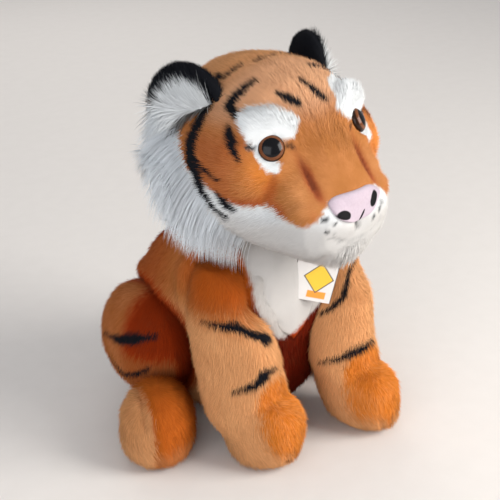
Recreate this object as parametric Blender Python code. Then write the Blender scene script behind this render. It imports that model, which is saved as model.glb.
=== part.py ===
"""A plush tiger that sits upright, built from its sewn and stuffed pieces.

Metres, +Z up. The tiger faces -Y and its own left is +X. The origin is the middle of the flat
seat that it rests on.
"""
import math

import bmesh
import bpy
from mathutils import Matrix, Vector
from mathutils.bvhtree import BVHTree

for old_object in list(bpy.data.objects):
    bpy.data.objects.remove(old_object, do_unlink=True)

# Fabric, clearances, the overrun of every cutting tool, and how much plainer hidden skins are
GAP = 0.0003
COVER = 0.0025
PATCH = 0.0025
FILLING_GAP = 0.0008
OVERRUN = 0.005
SEAM_OPENING = 0.022
SHELL_LIMIT_SHARE = 2
INNER_STEPS = 2

# Torso, from the seat to the neck seam
TORSO_HEIGHT = 0.156
TORSO_HALF_WIDTH = 0.065
TORSO_FRONT = 0.050
TORSO_BACK = 0.098
TORSO_SIDES = 24
TORSO_SQUARENESS_SHARE = 2.3
HIP_HALF_WIDTH = 0.046
NECK_Y = -0.004
NECK_ROOM = 0.056
BAG_HEIGHT = 0.026
BAG_CLEARANCE = 0.0008

# Head, in its own straight-ahead frame
HEAD_BACK = 0.052
HEAD_FRONT = 0.103
HEAD_HALF_WIDTH = 0.077
HEAD_DROP = 0.006
HEAD_HEIGHT = 0.124
HEAD_SIDES = 28
HEAD_TURN = math.radians(5.2)

# Face
EYE_DIAMETER = 0.018
EYE_DOME = 0.0062
EYE_SIDE_SHARE = 0.545
EYE_RISE_SHARE = 0.6653
SHANK_DIAMETER = 0.0045
SHANK_LENGTH = 0.013
SHANK_RIB = 0.0004
WASHER_DIAMETER = 0.014
WASHER_THICKNESS = 0.0015
EYE_POCKET = 0.0008
EYE_SIDES = 14
EYE_STEPS = 5
EYE_EDGE_SHARE = 0.25
RIB_COUNT = 3
RIB_START_SHARE = 0.35
RIB_PITCH_SHARE = 0.22
RIB_SLOPE_SHARE = 0.02
BROW_HALF_WIDTH = 0.024
BROW_HALF_HEIGHT = 0.016
BROW_RISE_SHARE = 0.16
UNDER_HALF_WIDTH = 0.011
UNDER_HALF_HEIGHT = 0.007
UNDER_DROP_SHARE = 0.11
CHIN_HALF_WIDTH = 0.020
NOSE_WIDTH = 0.040
NOSE_HEIGHT = 0.026
NOSE_RISE_SHARE = 0.3226
RUFF_THICKNESS = 0.013
RUFF_INSIDE_SHARE = 0.45

# Ears
EAR_HALF_WIDTH = 0.030
EAR_HEIGHT = 0.058
EAR_THICKNESS = 0.020
EAR_SIDE_SHARE = 0.74
EAR_RISE_SHARE = 0.597
EAR_OUTWARD = math.radians(66)
EAR_RIM = 0.004
EAR_HOLLOW = 0.008
EAR_FOLD = math.radians(15)
EAR_SIDES = 12

# Forelegs
SHOULDER_Y = -0.028
SHOULDER_DROP = 0.038
SHOULDER_RADIUS = 0.027
SHOULDER_INSIDE = 0.034
SHOULDER_STEPS = 4
SHOULDER_START = math.radians(-12)
SHOULDER_EDGE_SHARE = 0.78
SHOULDER_CROWN_SHARE = 0.26
FORELEG_HALF_WIDTH = 0.029
FORELEG_OUTSIDE = 0.067
FOREPAW_REACH = 0.099
FORELEG_SIDES = 20
LEFT_PAW_AHEAD = 0.011
LEFT_PAW_ASIDE = 0.009

# Hind legs
HIP_Y = 0.045
HIP_Z = 0.057
THIGH_RADIUS = 0.047
THIGH_THICKNESS = 0.048
THIGH_SIDES = 20
RECESS_SIDES = 24
HIND_PAW_X = 0.0945
HIND_PAW_Y = -0.013
LEFT_HIND_PAW_X = 0.087
LEFT_HIND_PAW_Y = 0.001
LEFT_HIND_PAW_SPLAY = math.radians(4)
HIND_PAW_HALF_WIDTH = 0.0295
HIND_PAW_HALF_LENGTH = 0.038
HIND_PAW_HEIGHT = 0.055
HIND_PAW_SIDES = 20
HIND_PAW_SPLAY = math.radians(38)
PAW_OPENING_SHARE = 0.2

# Tail
TAIL_RADIUS = 0.011
TAIL_TIP_RADIUS = 0.0085
TAIL_LIFT = 0.0005
TAIL_SEAT_HEIGHT = 0.020
TAIL_OUT = 0.040
TAIL_SWEEP = 0.136
TAIL_RETURN = 0.050
TAIL_POINTS = 20
TAIL_SIDES = 12
TAIL_END_STEPS = 4
TAIL_TIP_SHARE = 0.25

# Swing tag
TAG_WIDTH = 0.028
TAG_HEIGHT = 0.036
TAG_THICKNESS = 0.0012
TAG_HOLE = 0.0030
TAG_HOLE_MARGIN = 0.0036
TAG_X = 0.011
TAG_DROP = 0.018
TAG_TILT = math.radians(6)
LOOP_RADIUS = 0.0005
LOOP_REACH = 0.0045
LOOP_BEND = 0.0028
LOOP_STEPS = 9

# Plain colours of the plush, the filling and the hard pieces
ORANGE = (0.72, 0.25, 0.05)
WHITE = (0.86, 0.83, 0.78)
BLACK = (0.02, 0.02, 0.022)
PINK = (0.80, 0.45, 0.42)
FILLING = (0.92, 0.92, 0.90)


def surface(name, colour, roughness):
    """Give a piece its own plain finish."""
    material = bpy.data.materials.new(name)
    material.use_nodes = True
    shader = material.node_tree.nodes["Principled BSDF"]
    shader.inputs["Base Color"].default_value = (*colour, 1)
    shader.inputs["Roughness"].default_value = roughness
    return material


def place_of(carrier):
    """Where a carrier stands before the head turns."""
    place = Vector()
    while carrier:
        place += carrier.location
        carrier = carrier.parent
    return place


def pivot(name, place, turn=0.0, carrier=None):
    """An empty on a joint's axis that carries the pieces that move together."""
    empty = bpy.data.objects.new(name, None)
    empty.location = place - place_of(carrier)
    empty.parent = carrier
    empty.rotation_euler = (0, 0, turn)
    bpy.context.scene.collection.objects.link(empty)
    return empty


def piece(name, mesh, carrier=None, colour=None, roughness=0.9, mirrored=False):
    """Turn a bmesh into an object, mirrored to the tiger's right if asked, on its carrier."""
    if mirrored:
        bmesh.ops.scale(mesh, vec=(-1, 1, 1), verts=mesh.verts)
        bmesh.ops.reverse_faces(mesh, faces=mesh.faces)
    bmesh.ops.translate(mesh, vec=-place_of(carrier), verts=mesh.verts)
    data = bpy.data.meshes.new(name)
    mesh.to_mesh(data)
    mesh.free()
    data.shade_smooth()
    data.set_sharp_from_angle(angle=math.radians(50))
    made = bpy.data.objects.new(name, data)
    made.parent = carrier
    bpy.context.scene.collection.objects.link(made)
    if colour:
        data.materials.append(surface(name, colour, roughness))
    return made


def guide(name, mesh, carrier=None, mirrored=False):
    """A shape that only cuts others."""
    made = piece(name, mesh, carrier, mirrored=mirrored)
    made.hide_render = True
    made.display_type = "WIRE"
    return made


def combine(target, tool, operation="DIFFERENCE"):
    """Cut the target with the tool, or keep what they share."""
    step = target.modifiers.new(tool.name, "BOOLEAN")
    step.operation = operation
    step.object = tool
    return target


def beyond(end, inner):
    """A row past an end: mirrored through a pole, so that it closes round, or else straight on."""
    if end[-1] == 0:
        return (*inner[:-2], -inner[-2], -inner[-1])
    return tuple(2 * a - b for a, b in zip(end, inner))


def between(before, start, end, after, t):
    """A row on the smooth curve from start to end."""
    return tuple(0.5 * (2 * b + (c - a) * t + (2 * a - 5 * b + 4 * c - d) * t * t
                        + (3 * b - a - 3 * c + d) * t ** 3)
                 for a, b, c, d in zip(before, start, end, after))


def eased(rows, steps):
    """Rows on a smooth curve through the given ones."""
    chain = [beyond(rows[0], rows[1]), *rows, beyond(rows[-1], rows[-2])]
    result = [between(*chain[index:index + 4], step / steps)
              for index in range(len(rows) - 1) for step in range(steps)]
    return [*result, tuple(rows[-1])]


def rounded(value, squareness):
    """A circle's sine or cosine pushed towards a square one."""
    return math.copysign(abs(value) ** (2 / squareness), value)


def loft(rows, along, across, sides, steps=2, squareness=2):
    """Skin rounded sections: rows of centre x, y, z and half sizes along and across."""
    mesh = bmesh.new()
    rings = []
    for x, y, z, half_along, half_across in eased(rows, steps):
        centre = Vector((x, y, z))
        if half_across == 0:
            rings.append([mesh.verts.new(centre)])
            continue
        rings.append([mesh.verts.new(
            centre + along * half_along * rounded(math.cos(math.tau * side / sides), squareness)
            + across * half_across * rounded(math.sin(math.tau * side / sides), squareness))
            for side in range(sides)])
    for lower, upper in zip(rings, rings[1:]):
        for side in range(sides):
            following = (side + 1) % sides
            corners = [lower[side % len(lower)], lower[following % len(lower)],
                       upper[following % len(upper)], upper[side % len(upper)]]
            mesh.faces.new(list(dict.fromkeys(corners)))
    for ring in (rings[0], rings[-1]):
        if len(ring) > 1:
            mesh.faces.new(ring)
    bmesh.ops.triangulate(mesh, faces=mesh.faces)
    bmesh.ops.recalc_face_normals(mesh, faces=mesh.faces)
    return mesh


def offset(mesh, distance):
    """Move a closed skin outwards by a distance, or inwards by a negative one."""
    mesh.normal_update()
    moves = [(vert, vert.normal * distance * min(vert.calc_shell_factor(), SHELL_LIMIT_SHARE))
             for vert in mesh.verts]
    for vert, move in moves:
        vert.co += move
    return mesh


def cylinder(radius, start, end, sides=24):
    """A closed round bar between two points."""
    mesh = bmesh.new()
    span = end - start
    turn = span.to_track_quat("Z", "Y").to_matrix().to_4x4()
    bmesh.ops.create_cone(mesh, cap_ends=True, segments=sides, radius1=radius, radius2=radius,
                          depth=span.length, matrix=Matrix.Translation((start + end) / 2) @ turn)
    return mesh


def prism(outline, start, end, up=Vector((0, 0, 1))):
    """Extrude an outline of sideways and upward offsets from one point to another."""
    mesh = bmesh.new()
    span = end - start
    side = up.cross(span).normalized()
    upward = span.normalized().cross(side)
    base = mesh.faces.new([mesh.verts.new(start + side * a + upward * b) for a, b in outline])
    pushed = bmesh.ops.extrude_face_region(mesh, geom=[base])
    moved = [item for item in pushed["geom"] if isinstance(item, bmesh.types.BMVert)]
    bmesh.ops.translate(mesh, vec=span, verts=moved)
    bmesh.ops.recalc_face_normals(mesh, faces=mesh.faces)
    return mesh


def grown(outline, extra):
    """An outline with every corner moved away from its middle."""
    corners = [Vector(corner) for corner in outline]
    middle = sum(corners, Vector((0, 0))) / len(corners)
    return [corner + (corner - middle).normalized() * extra for corner in corners]


def turned(profile, sides, place, axis):
    """Revolve a profile of radius and height pairs and stand it on a point along an axis."""
    mesh = bmesh.new()
    points = [mesh.verts.new((radius, 0, height)) for radius, height in profile]
    edges = [mesh.edges.new(pair) for pair in zip(points, points[1:])]
    bmesh.ops.spin(mesh, geom=points + edges, cent=(0, 0, 0), axis=(0, 0, 1),
                   angle=math.tau, steps=sides, use_merge=True)
    bmesh.ops.remove_doubles(mesh, verts=mesh.verts, dist=GAP / 100)
    bmesh.ops.recalc_face_normals(mesh, faces=mesh.faces)
    stand = axis.to_track_quat("Z", "Y").to_matrix().to_4x4()
    bmesh.ops.transform(mesh, matrix=Matrix.Translation(place) @ stand, verts=mesh.verts)
    return mesh


def skin_point(mesh, start, direction):
    """The place and outward direction of a form's skin where a line first meets it."""
    place, normal, _, _ = BVHTree.FromBMesh(mesh).ray_cast(start, direction)
    mesh.free()
    return place, normal


# Torso: a pear with flat hips where the thighs are sewn on and a flat neck seam
torso_row_shares = (
    # height, half width, front, back
    (0.00, 0.58, 0.40, 0.66),
    (0.08, 0.75, 0.70, 0.84),
    (0.22, 0.82, 0.90, 0.95),
    (0.42, 0.86, 0.98, 1.00),
    (0.62, 0.93, 1.00, 0.98),
    (0.76, 0.95, 0.98, 0.86),
    (0.88, 0.85, 0.93, 0.66),
    (0.96, 0.71, 0.86, 0.46),
    (1.00, 0.58, 0.74, 0.32),
)


def torso_form(plain=1):
    """The torso's outer skin before the limbs are let in, or a plainer one for what is inside."""
    rows = []
    for height, width, front, back in torso_row_shares:
        near, far = -TORSO_FRONT * front, TORSO_BACK * back
        rows.append((0, (near + far) / 2, TORSO_HEIGHT * height,
                     TORSO_HALF_WIDTH * width, (far - near) / 2))
    return loft(rows, Vector((1, 0, 0)), Vector((0, 1, 0)), TORSO_SIDES // plain, 2 // plain,
                TORSO_SQUARENESS_SHARE)


shoulder_height = TORSO_HEIGHT - SHOULDER_DROP


def limb_recesses(name, clearance):
    """The round recesses that hold both shoulders and both thighs, larger by a clearance."""
    recesses = bmesh.new()
    for inside, y, z, radius in (
            (SHOULDER_INSIDE, SHOULDER_Y, shoulder_height, SHOULDER_RADIUS),
            (HIP_HALF_WIDTH, HIP_Y, HIP_Z, THIGH_RADIUS)):
        for side in (-1, 1):
            drum = cylinder(radius + clearance, Vector((side * (inside - clearance), y, z)),
                            Vector((side * (FORELEG_OUTSIDE + OVERRUN), y, z)), RECESS_SIDES)
            data = bpy.data.meshes.new(name)
            drum.to_mesh(data)
            drum.free()
            recesses.from_mesh(data)
    return guide(name, recesses)


neck = Vector((0, NECK_Y, TORSO_HEIGHT))
up = Vector((0, 0, 1))
torso_cover = piece("torso_cover", torso_form(), colour=ORANGE)
torso_hollow = guide("torso_hollow", offset(torso_form(INNER_STEPS), -COVER))
combine(torso_hollow, limb_recesses("limb_recesses_inner", GAP + COVER))
combine(torso_cover, limb_recesses("limb_recesses_outer", GAP))
combine(torso_cover, torso_hollow)
combine(torso_cover, guide("torso_seam_opening", cylinder(
    SEAM_OPENING, neck - up * (COVER + OVERRUN), neck + up * OVERRUN)))

torso_stuffing = piece("torso_stuffing", offset(torso_form(INNER_STEPS), -COVER - FILLING_GAP),
                       colour=FILLING, roughness=1.0)
filling_recesses = limb_recesses("limb_recesses_filling", GAP + COVER + FILLING_GAP)
combine(torso_stuffing, filling_recesses)
bag_top = COVER + BAG_HEIGHT
torso_span = Vector((0, TORSO_BACK + TORSO_FRONT, 0))
combine(torso_stuffing, guide("bag_space", prism(
    [(-TORSO_HALF_WIDTH, -OVERRUN), (TORSO_HALF_WIDTH, -OVERRUN),
     (TORSO_HALF_WIDTH, bag_top), (-TORSO_HALF_WIDTH, bag_top)], -torso_span, torso_span)))

pellet_bag = piece("pellet_bag", offset(torso_form(INNER_STEPS), -COVER - 2 * BAG_CLEARANCE),
                   colour=WHITE, roughness=0.8)
combine(pellet_bag, guide("above_bag", prism(
    [(-TORSO_HALF_WIDTH, bag_top - BAG_CLEARANCE), (TORSO_HALF_WIDTH, bag_top - BAG_CLEARANCE),
     (TORSO_HALF_WIDTH, TORSO_HEIGHT + OVERRUN), (-TORSO_HALF_WIDTH, TORSO_HEIGHT + OVERRUN)],
    -torso_span, torso_span)))
combine(pellet_bag, filling_recesses)

# White bib: a shield from the neck seam down to a point between the forelegs
bib_outline_shares = ((-0.66, 1.0), (0.66, 1.0), (0.56, 0.86), (0.42, 0.70), (0.20, 0.55),
                      (0.0, 0.48), (-0.20, 0.55), (-0.42, 0.70), (-0.56, 0.86))
bib_outline = [(TORSO_HALF_WIDTH * side, TORSO_HEIGHT * height)
               for side, height in bib_outline_shares]
chest_bib = piece("chest_bib", offset(torso_form(), GAP + PATCH), colour=WHITE)
combine(chest_bib, guide("bib_outline", prism(
    bib_outline, Vector((0, SHOULDER_Y + OVERRUN, 0)), Vector((0, -2 * TORSO_FRONT, 0)))),
    "INTERSECT")
combine(chest_bib, guide("torso_under_bib", offset(torso_form(), GAP)))
combine(chest_bib, limb_recesses("limb_recesses_bib", GAP))
combine(chest_bib, guide("neck_plane", prism(
    [(-TORSO_HALF_WIDTH, TORSO_HEIGHT), (TORSO_HALF_WIDTH, TORSO_HEIGHT),
     (TORSO_HALF_WIDTH, TORSO_HEIGHT + 2 * OVERRUN),
     (-TORSO_HALF_WIDTH, TORSO_HEIGHT + 2 * OVERRUN)], torso_span, -torso_span)))

# Head: a round skull that narrows to the muzzle, flat below at the neck seam
head_row_shares = (
    # forward, half width, bottom, top
    (-1.000, 0.00, 0.52, 0.52),
    (-0.940, 0.30, 0.36, 0.70),
    (-0.770, 0.61, 0.20, 0.85),
    (-0.420, 0.86, 0.06, 0.96),
    (0.020, 0.98, 0.00, 1.00),
    (0.260, 1.00, 0.00, 0.99),
    (0.450, 0.98, 0.00, 0.93),
    (0.590, 0.88, 0.00, 0.81),
    (0.710, 0.72, -0.01, 0.67),
    (0.820, 0.60, -0.01, 0.55),
    (0.910, 0.52, 0.01, 0.47),
    (0.970, 0.39, 0.08, 0.42),
    (1.000, 0.00, 0.27, 0.27),
)
head_base = TORSO_HEIGHT + GAP
head_bottom = TORSO_HEIGHT - HEAD_DROP


def head_form(plain=1):
    """The head's outer skin, or a plainer one for what is inside."""
    rows = []
    for forward, width, bottom, top in head_row_shares:
        reach = HEAD_BACK if forward < 0 else HEAD_FRONT
        rows.append((0, -reach * forward, head_bottom + HEAD_HEIGHT * (bottom + top) / 2,
                     HEAD_HALF_WIDTH * width, HEAD_HEIGHT * (top - bottom) / 2))
    mesh = loft(rows, Vector((1, 0, 0)), Vector((0, 0, 1)), HEAD_SIDES // plain, 1)
    for vert in mesh.verts:
        if (vert.co.xy - neck.xy).length < NECK_ROOM:
            vert.co.z = max(vert.co.z, head_base)
    return mesh


head_pivot = pivot("head_pivot", Vector((0, NECK_Y, TORSO_HEIGHT)), HEAD_TURN)
head_cover = piece("head_cover", head_form(), head_pivot, ORANGE)
head_hollow = guide("head_hollow", offset(head_form(INNER_STEPS), -COVER), head_pivot)
combine(head_cover, head_hollow)
combine(head_cover, guide("head_seam_opening", cylinder(
    SEAM_OPENING, neck - up * OVERRUN, neck + up * (COVER + OVERRUN)), head_pivot))
head_stuffing = piece("head_stuffing", offset(head_form(INNER_STEPS), -COVER - FILLING_GAP), head_pivot,
                      FILLING, 1.0)


def head_patch(name, tool, colour, thickness=PATCH, roughness=0.9, mirrored=False):
    """A piece of plush that lies on the head inside a tool's outline."""
    patch = piece(name, offset(head_form(), GAP + thickness), head_pivot, colour, roughness,
                  mirrored)
    combine(patch, tool, "INTERSECT")
    combine(patch, head_skin)
    combine(patch, below_head)
    return patch


head_skin = guide("head_skin", offset(head_form(), GAP), head_pivot)
below_head = guide("below_head", cylinder(
    NECK_ROOM, neck - up * 2 * OVERRUN, neck + up * GAP, 32), head_pivot)

# Eyes: a domed button with a ribbed shank, held by a washer inside the cover
forward = Vector((0, -1, 0))
eye_place, eye_normal = skin_point(
    head_form(), Vector((HEAD_HALF_WIDTH * EYE_SIDE_SHARE, -2 * HEAD_FRONT,
                         head_bottom + HEAD_HEIGHT * EYE_RISE_SHARE)), -forward)
eye_radius = EYE_DIAMETER / 2
shank_radius = SHANK_DIAMETER / 2
eye_back = -EYE_POCKET + GAP
washer_face = -COVER - 3 * GAP
washer_radius = WASHER_DIAMETER / 2
dome = []
for step in range(EYE_STEPS):
    turn = math.pi / 2 * step / EYE_STEPS
    rise = EYE_EDGE_SHARE + (1 - EYE_EDGE_SHARE) * math.sin(turn)
    dome.append((eye_radius * math.cos(turn), eye_back + EYE_DOME * rise))
ribs = []
for rib in range(RIB_COUNT):
    height = eye_back - SHANK_LENGTH * (RIB_START_SHARE + RIB_PITCH_SHARE * rib)
    ribs += [(shank_radius - SHANK_RIB, height),
             (shank_radius, height - SHANK_LENGTH * RIB_SLOPE_SHARE)]
eye_profile = [(0, eye_back + EYE_DOME), *reversed(dome), (eye_radius, eye_back),
               (shank_radius, eye_back), *ribs, (shank_radius - SHANK_RIB, eye_back - SHANK_LENGTH),
               (0, eye_back - SHANK_LENGTH)]
washer_profile = [(shank_radius + GAP, washer_face), (washer_radius, washer_face),
                  (washer_radius, washer_face - WASHER_THICKNESS),
                  (shank_radius + GAP, washer_face - WASHER_THICKNESS),
                  (shank_radius + GAP, washer_face)]
for side in ("left", "right"):
    right = side == "right"
    piece("eye_" + side, turned(eye_profile, EYE_SIDES, eye_place, eye_normal), head_pivot,
          BLACK, 0.1, right)
    piece("eye_washer_" + side, turned(washer_profile, EYE_SIDES, eye_place, eye_normal),
          head_pivot, WHITE, 0.5, right)
    combine(head_cover, guide("eye_pocket_" + side, cylinder(
        eye_radius + GAP, eye_place - eye_normal * EYE_POCKET,
        eye_place + eye_normal * OVERRUN), head_pivot, right))
    combine(head_cover, guide("shank_hole_" + side, cylinder(
        shank_radius + GAP, eye_place - eye_normal * (COVER + OVERRUN),
        eye_place + eye_normal * OVERRUN, 16), head_pivot, right))
    combine(head_stuffing, guide("washer_space_" + side, cylinder(
        washer_radius + FILLING_GAP, eye_place - eye_normal * (SHANK_LENGTH + 2 * EYE_POCKET),
        eye_place + eye_normal * OVERRUN, 16), head_pivot, right))

# White patches above and below the eyes
brow_outline_shares = ((-1.0, -0.05), (-0.72, -0.80), (0.10, -0.62), (0.78, -0.60),
                       (1.0, 0.30), (0.35, 0.92), (-0.45, 0.80))
under_outline_shares = ((-1.0, 0.55), (-0.2, -0.9), (0.25, -1.0), (1.0, 0.7), (0.2, 0.95),
                        (-0.4, 0.95))
for side in ("left", "right"):
    right = side == "right"
    eye_clearance = guide("eye_clearance_" + side, cylinder(
        eye_radius + 3 * GAP, eye_place - eye_normal * OVERRUN,
        eye_place + eye_normal * 2 * OVERRUN), head_pivot, right)
    for name, shares, half_width, half_height, rise in (
            ("brow_patch_", brow_outline_shares, BROW_HALF_WIDTH, BROW_HALF_HEIGHT,
             BROW_RISE_SHARE),
            ("under_eye_patch_", under_outline_shares, UNDER_HALF_WIDTH, UNDER_HALF_HEIGHT,
             -UNDER_DROP_SHARE)):
        outline = [(half_width * across, half_height * upward) for across, upward in shares]
        centre = eye_place + up * HEAD_HEIGHT * rise
        tool = guide(name + "outline_" + side, prism(
            outline, centre - eye_normal * 2 * OVERRUN, centre + eye_normal * 4 * OVERRUN),
            head_pivot, right)
        combine(head_patch(name + side, tool, WHITE, mirrored=right), eye_clearance)

# Pink nose: a rounded triangle on the tip of the muzzle
nose_outline_shares = ((-1.0, 0.72), (-0.72, 1.0), (0.0, 0.86), (0.72, 1.0), (1.0, 0.72),
                       (0.62, 0.05), (0.20, -0.86), (-0.20, -0.86), (-0.62, 0.05))
nose_reach_shares = (0.8, 1.2)


nose_centre = head_bottom + HEAD_HEIGHT * NOSE_RISE_SHARE
nose_outline = [(NOSE_WIDTH / 2 * across, nose_centre + NOSE_HEIGHT / 2 * upward)
                for across, upward in nose_outline_shares]
nose_start, nose_end = (forward * HEAD_FRONT * reach for reach in nose_reach_shares)
head_patch("nose", guide("nose_outline", prism(nose_outline, nose_start, nose_end), head_pivot),
           PINK, roughness=0.6)
nose_clearance = guide("nose_clearance", prism(
    grown(nose_outline, 3 * GAP), nose_start, nose_end), head_pivot)

# White jaw panels with the whisker pads, and the chin between them
jaw_outline_shares = ((1.06, 0.17), (1.06, 0.40), (0.90, 0.40), (0.78, 0.33), (0.60, 0.26),
                      (0.40, 0.27), (0.24, 0.34), (0.12, 0.40), (0.12, -0.02), (0.80, -0.02))
chin_outline_shares = ((1.10, -0.02), (1.10, 0.165), (0.70, 0.165), (0.60, -0.02))


def side_outline(shares):
    """An outline seen from the side, as forward and upward places on the head."""
    return [(-HEAD_FRONT * ahead, head_bottom + HEAD_HEIGHT * height) for ahead, height in shares]


for side in ("left", "right"):
    right = side == "right"
    tool = guide("jaw_outline_" + side, prism(
        side_outline(jaw_outline_shares), Vector((GAP, 0, 0)),
        Vector((2 * HEAD_HALF_WIDTH, 0, 0))), head_pivot, right)
    jaw = head_patch("jaw_panel_" + side, tool, WHITE, mirrored=right)
    combine(jaw, nose_clearance)
    combine(jaw, guide("chin_space_" + side, prism(
        grown(side_outline(chin_outline_shares), 3 * GAP),
        Vector((-CHIN_HALF_WIDTH, 0, 0)), Vector((CHIN_HALF_WIDTH + GAP, 0, 0))),
        head_pivot, right))
head_patch("chin_panel", guide("chin_outline", prism(
    side_outline(chin_outline_shares), Vector((-CHIN_HALF_WIDTH, 0, 0)),
    Vector((CHIN_HALF_WIDTH, 0, 0))), head_pivot), WHITE)

# Long white fur behind the cheeks, from under the ears to the throat
ruff_outline_shares = ((0.115, 0.055), (0.115, 0.40), (0.04, 0.54), (-0.06, 0.57),
                       (-0.28, 0.57), (-0.36, 0.42), (-0.30, 0.20), (-0.14, 0.06))
for side in ("left", "right"):
    tool = guide("ruff_outline_" + side, prism(
        side_outline(ruff_outline_shares), Vector((HEAD_HALF_WIDTH * RUFF_INSIDE_SHARE, 0, 0)),
        Vector((2 * HEAD_HALF_WIDTH, 0, 0))), head_pivot, side == "right")
    head_patch("cheek_ruff_" + side, tool, WHITE, RUFF_THICKNESS, mirrored=side == "right")

# Ears: a black plush back with a hollow front that holds the white lining
ear_row_shares = ((0.00, 0.80, 0.75), (0.25, 0.96, 0.95), (0.50, 1.00, 1.00), (0.75, 0.84, 0.90),
                  (0.93, 0.48, 0.62), (1.00, 0.00, 0.00))
ear_normal = Vector((math.sin(EAR_OUTWARD), -math.cos(EAR_OUTWARD), 0))
ear_across = Vector((math.cos(EAR_OUTWARD), math.sin(EAR_OUTWARD), 0))
ear_root = Vector((HEAD_HALF_WIDTH * EAR_SIDE_SHARE, 0,
                   head_bottom + HEAD_HEIGHT * EAR_RISE_SHARE))


def ear_form(shrink=0.0, ahead=0.0):
    """The ear as a stuffed lens, drawn in by a margin and moved ahead."""
    base = ear_root + ear_normal * ahead
    rows = []
    for height, width, depth in ear_row_shares:
        place = base + up * (EAR_HEIGHT - shrink) * height
        scale = 0 if width == 0 else 1
        rows.append((*place, (EAR_HALF_WIDTH * width - shrink) * scale,
                     (EAR_THICKNESS / 2 * depth) * scale))
    return loft(rows, ear_across, ear_normal, EAR_SIDES)


head_clearance = offset(head_form(), GAP)
head_clearance_data = bpy.data.meshes.new("head_clearance")
head_clearance.to_mesh(head_clearance_data)
head_clearance.free()
ear_seat, ear_seat_normal = skin_point(
    head_form(), ear_root + up * EAR_HEIGHT, -up)
for side in ("left", "right"):
    right = side == "right"
    sign = -1 if right else 1
    hinge = Vector((ear_seat.x * sign, ear_seat.y, ear_seat.z))
    swing = Vector((ear_across.x * sign, ear_across.y, 0))
    folds = []
    for turn in (-EAR_FOLD, 0, EAR_FOLD):
        copy = bmesh.new()
        copy.from_mesh(head_clearance_data)
        bmesh.ops.rotate(copy, cent=hinge, matrix=Matrix.Rotation(turn, 3, swing),
                         verts=copy.verts)
        folds.append(guide("head_at_fold_%s_%d" % (side, len(folds)), copy, head_pivot))
    carrier = pivot("ear_%s_pivot" % side, hinge, carrier=head_pivot)
    hollow = guide("ear_hollow_" + side, ear_form(EAR_RIM, EAR_HOLLOW), head_pivot, right)
    back = piece("ear_back_" + side, ear_form(), carrier, BLACK, mirrored=right)
    lining = piece("ear_lining_" + side, ear_form(EAR_RIM + GAP, EAR_HOLLOW + GAP), carrier,
                   WHITE, mirrored=right)
    combine(back, hollow)
    combine(lining, guide("ear_bound_" + side, ear_form(EAR_RIM / 2, 0), head_pivot, right),
            "INTERSECT")
    for fold in folds:
        combine(back, fold)
        combine(lining, fold)

# Forelegs: round shoulders let into the torso, straight legs and broad paws
foreleg_row_shares = (
    # height, centre from the inner to the outer side, half width, back, front
    (0.00, 0.50, 0.70, 0.42, 0.88),
    (0.06, 0.50, 0.92, 0.32, 0.98),
    (0.16, 0.50, 1.00, 0.26, 1.00),
    (0.27, 0.48, 0.97, 0.22, 0.93),
    (0.38, 0.38, 0.88, 0.14, 0.81),
    (0.52, 0.25, 0.78, 0.03, 0.74),
    (0.68, 0.75, 0.66, 0.02, 0.68),
)
foreleg_inside = FORELEG_OUTSIDE - 2 * FORELEG_HALF_WIDTH
shoulder_top = shoulder_height + SHOULDER_RADIUS


def foreleg_form(ahead=0.0, aside=0.0, plain=1):
    """A foreleg's outer skin, its paw moved ahead and aside, flat under the paw."""
    rows = []
    for height, lean, width, back, front in foreleg_row_shares:
        shift = 1 - height
        near = -FOREPAW_REACH * front - ahead * shift
        far = -FOREPAW_REACH * back - ahead * shift
        half_width = FORELEG_HALF_WIDTH * width
        centre = FORELEG_OUTSIDE - half_width - (FORELEG_HALF_WIDTH - half_width) * (1 - lean)
        centre += aside * shift
        rows.append((centre, (near + far) / 2, shoulder_top * height, half_width,
                     (far - near) / 2))
    middle = (FORELEG_OUTSIDE + SHOULDER_INSIDE) / 2
    for step in range(SHOULDER_STEPS):
        turn = SHOULDER_START + (math.pi / 2 - SHOULDER_START) * step / SHOULDER_STEPS
        share = SHOULDER_EDGE_SHARE + SHOULDER_CROWN_SHARE * math.cos(turn)
        rows.append((middle, SHOULDER_Y, shoulder_height + SHOULDER_RADIUS * math.sin(turn),
                     (middle - SHOULDER_INSIDE) * share, SHOULDER_RADIUS * math.cos(turn)))
    rows.append((middle, SHOULDER_Y, shoulder_top, 0, 0))
    return loft(rows, Vector((1, 0, 0)), Vector((0, 1, 0)), FORELEG_SIDES // plain, 1)


shoulder = Vector((SHOULDER_INSIDE, SHOULDER_Y, shoulder_height))
sideways = Vector((1, 0, 0))


def torso_clearance(name, extra, mirrored):
    """The torso as a cutter, without the room that the shoulder needs in it."""
    cutter = guide(name, offset(torso_form(), GAP + PATCH + extra), mirrored=mirrored)
    room = cylinder(SHOULDER_RADIUS - extra, shoulder + sideways * (GAP + extra),
                    shoulder + sideways * 2 * SHOULDER_RADIUS, RECESS_SIDES)
    combine(cutter, guide(name + "_room", room, mirrored=mirrored))
    return cutter


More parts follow.
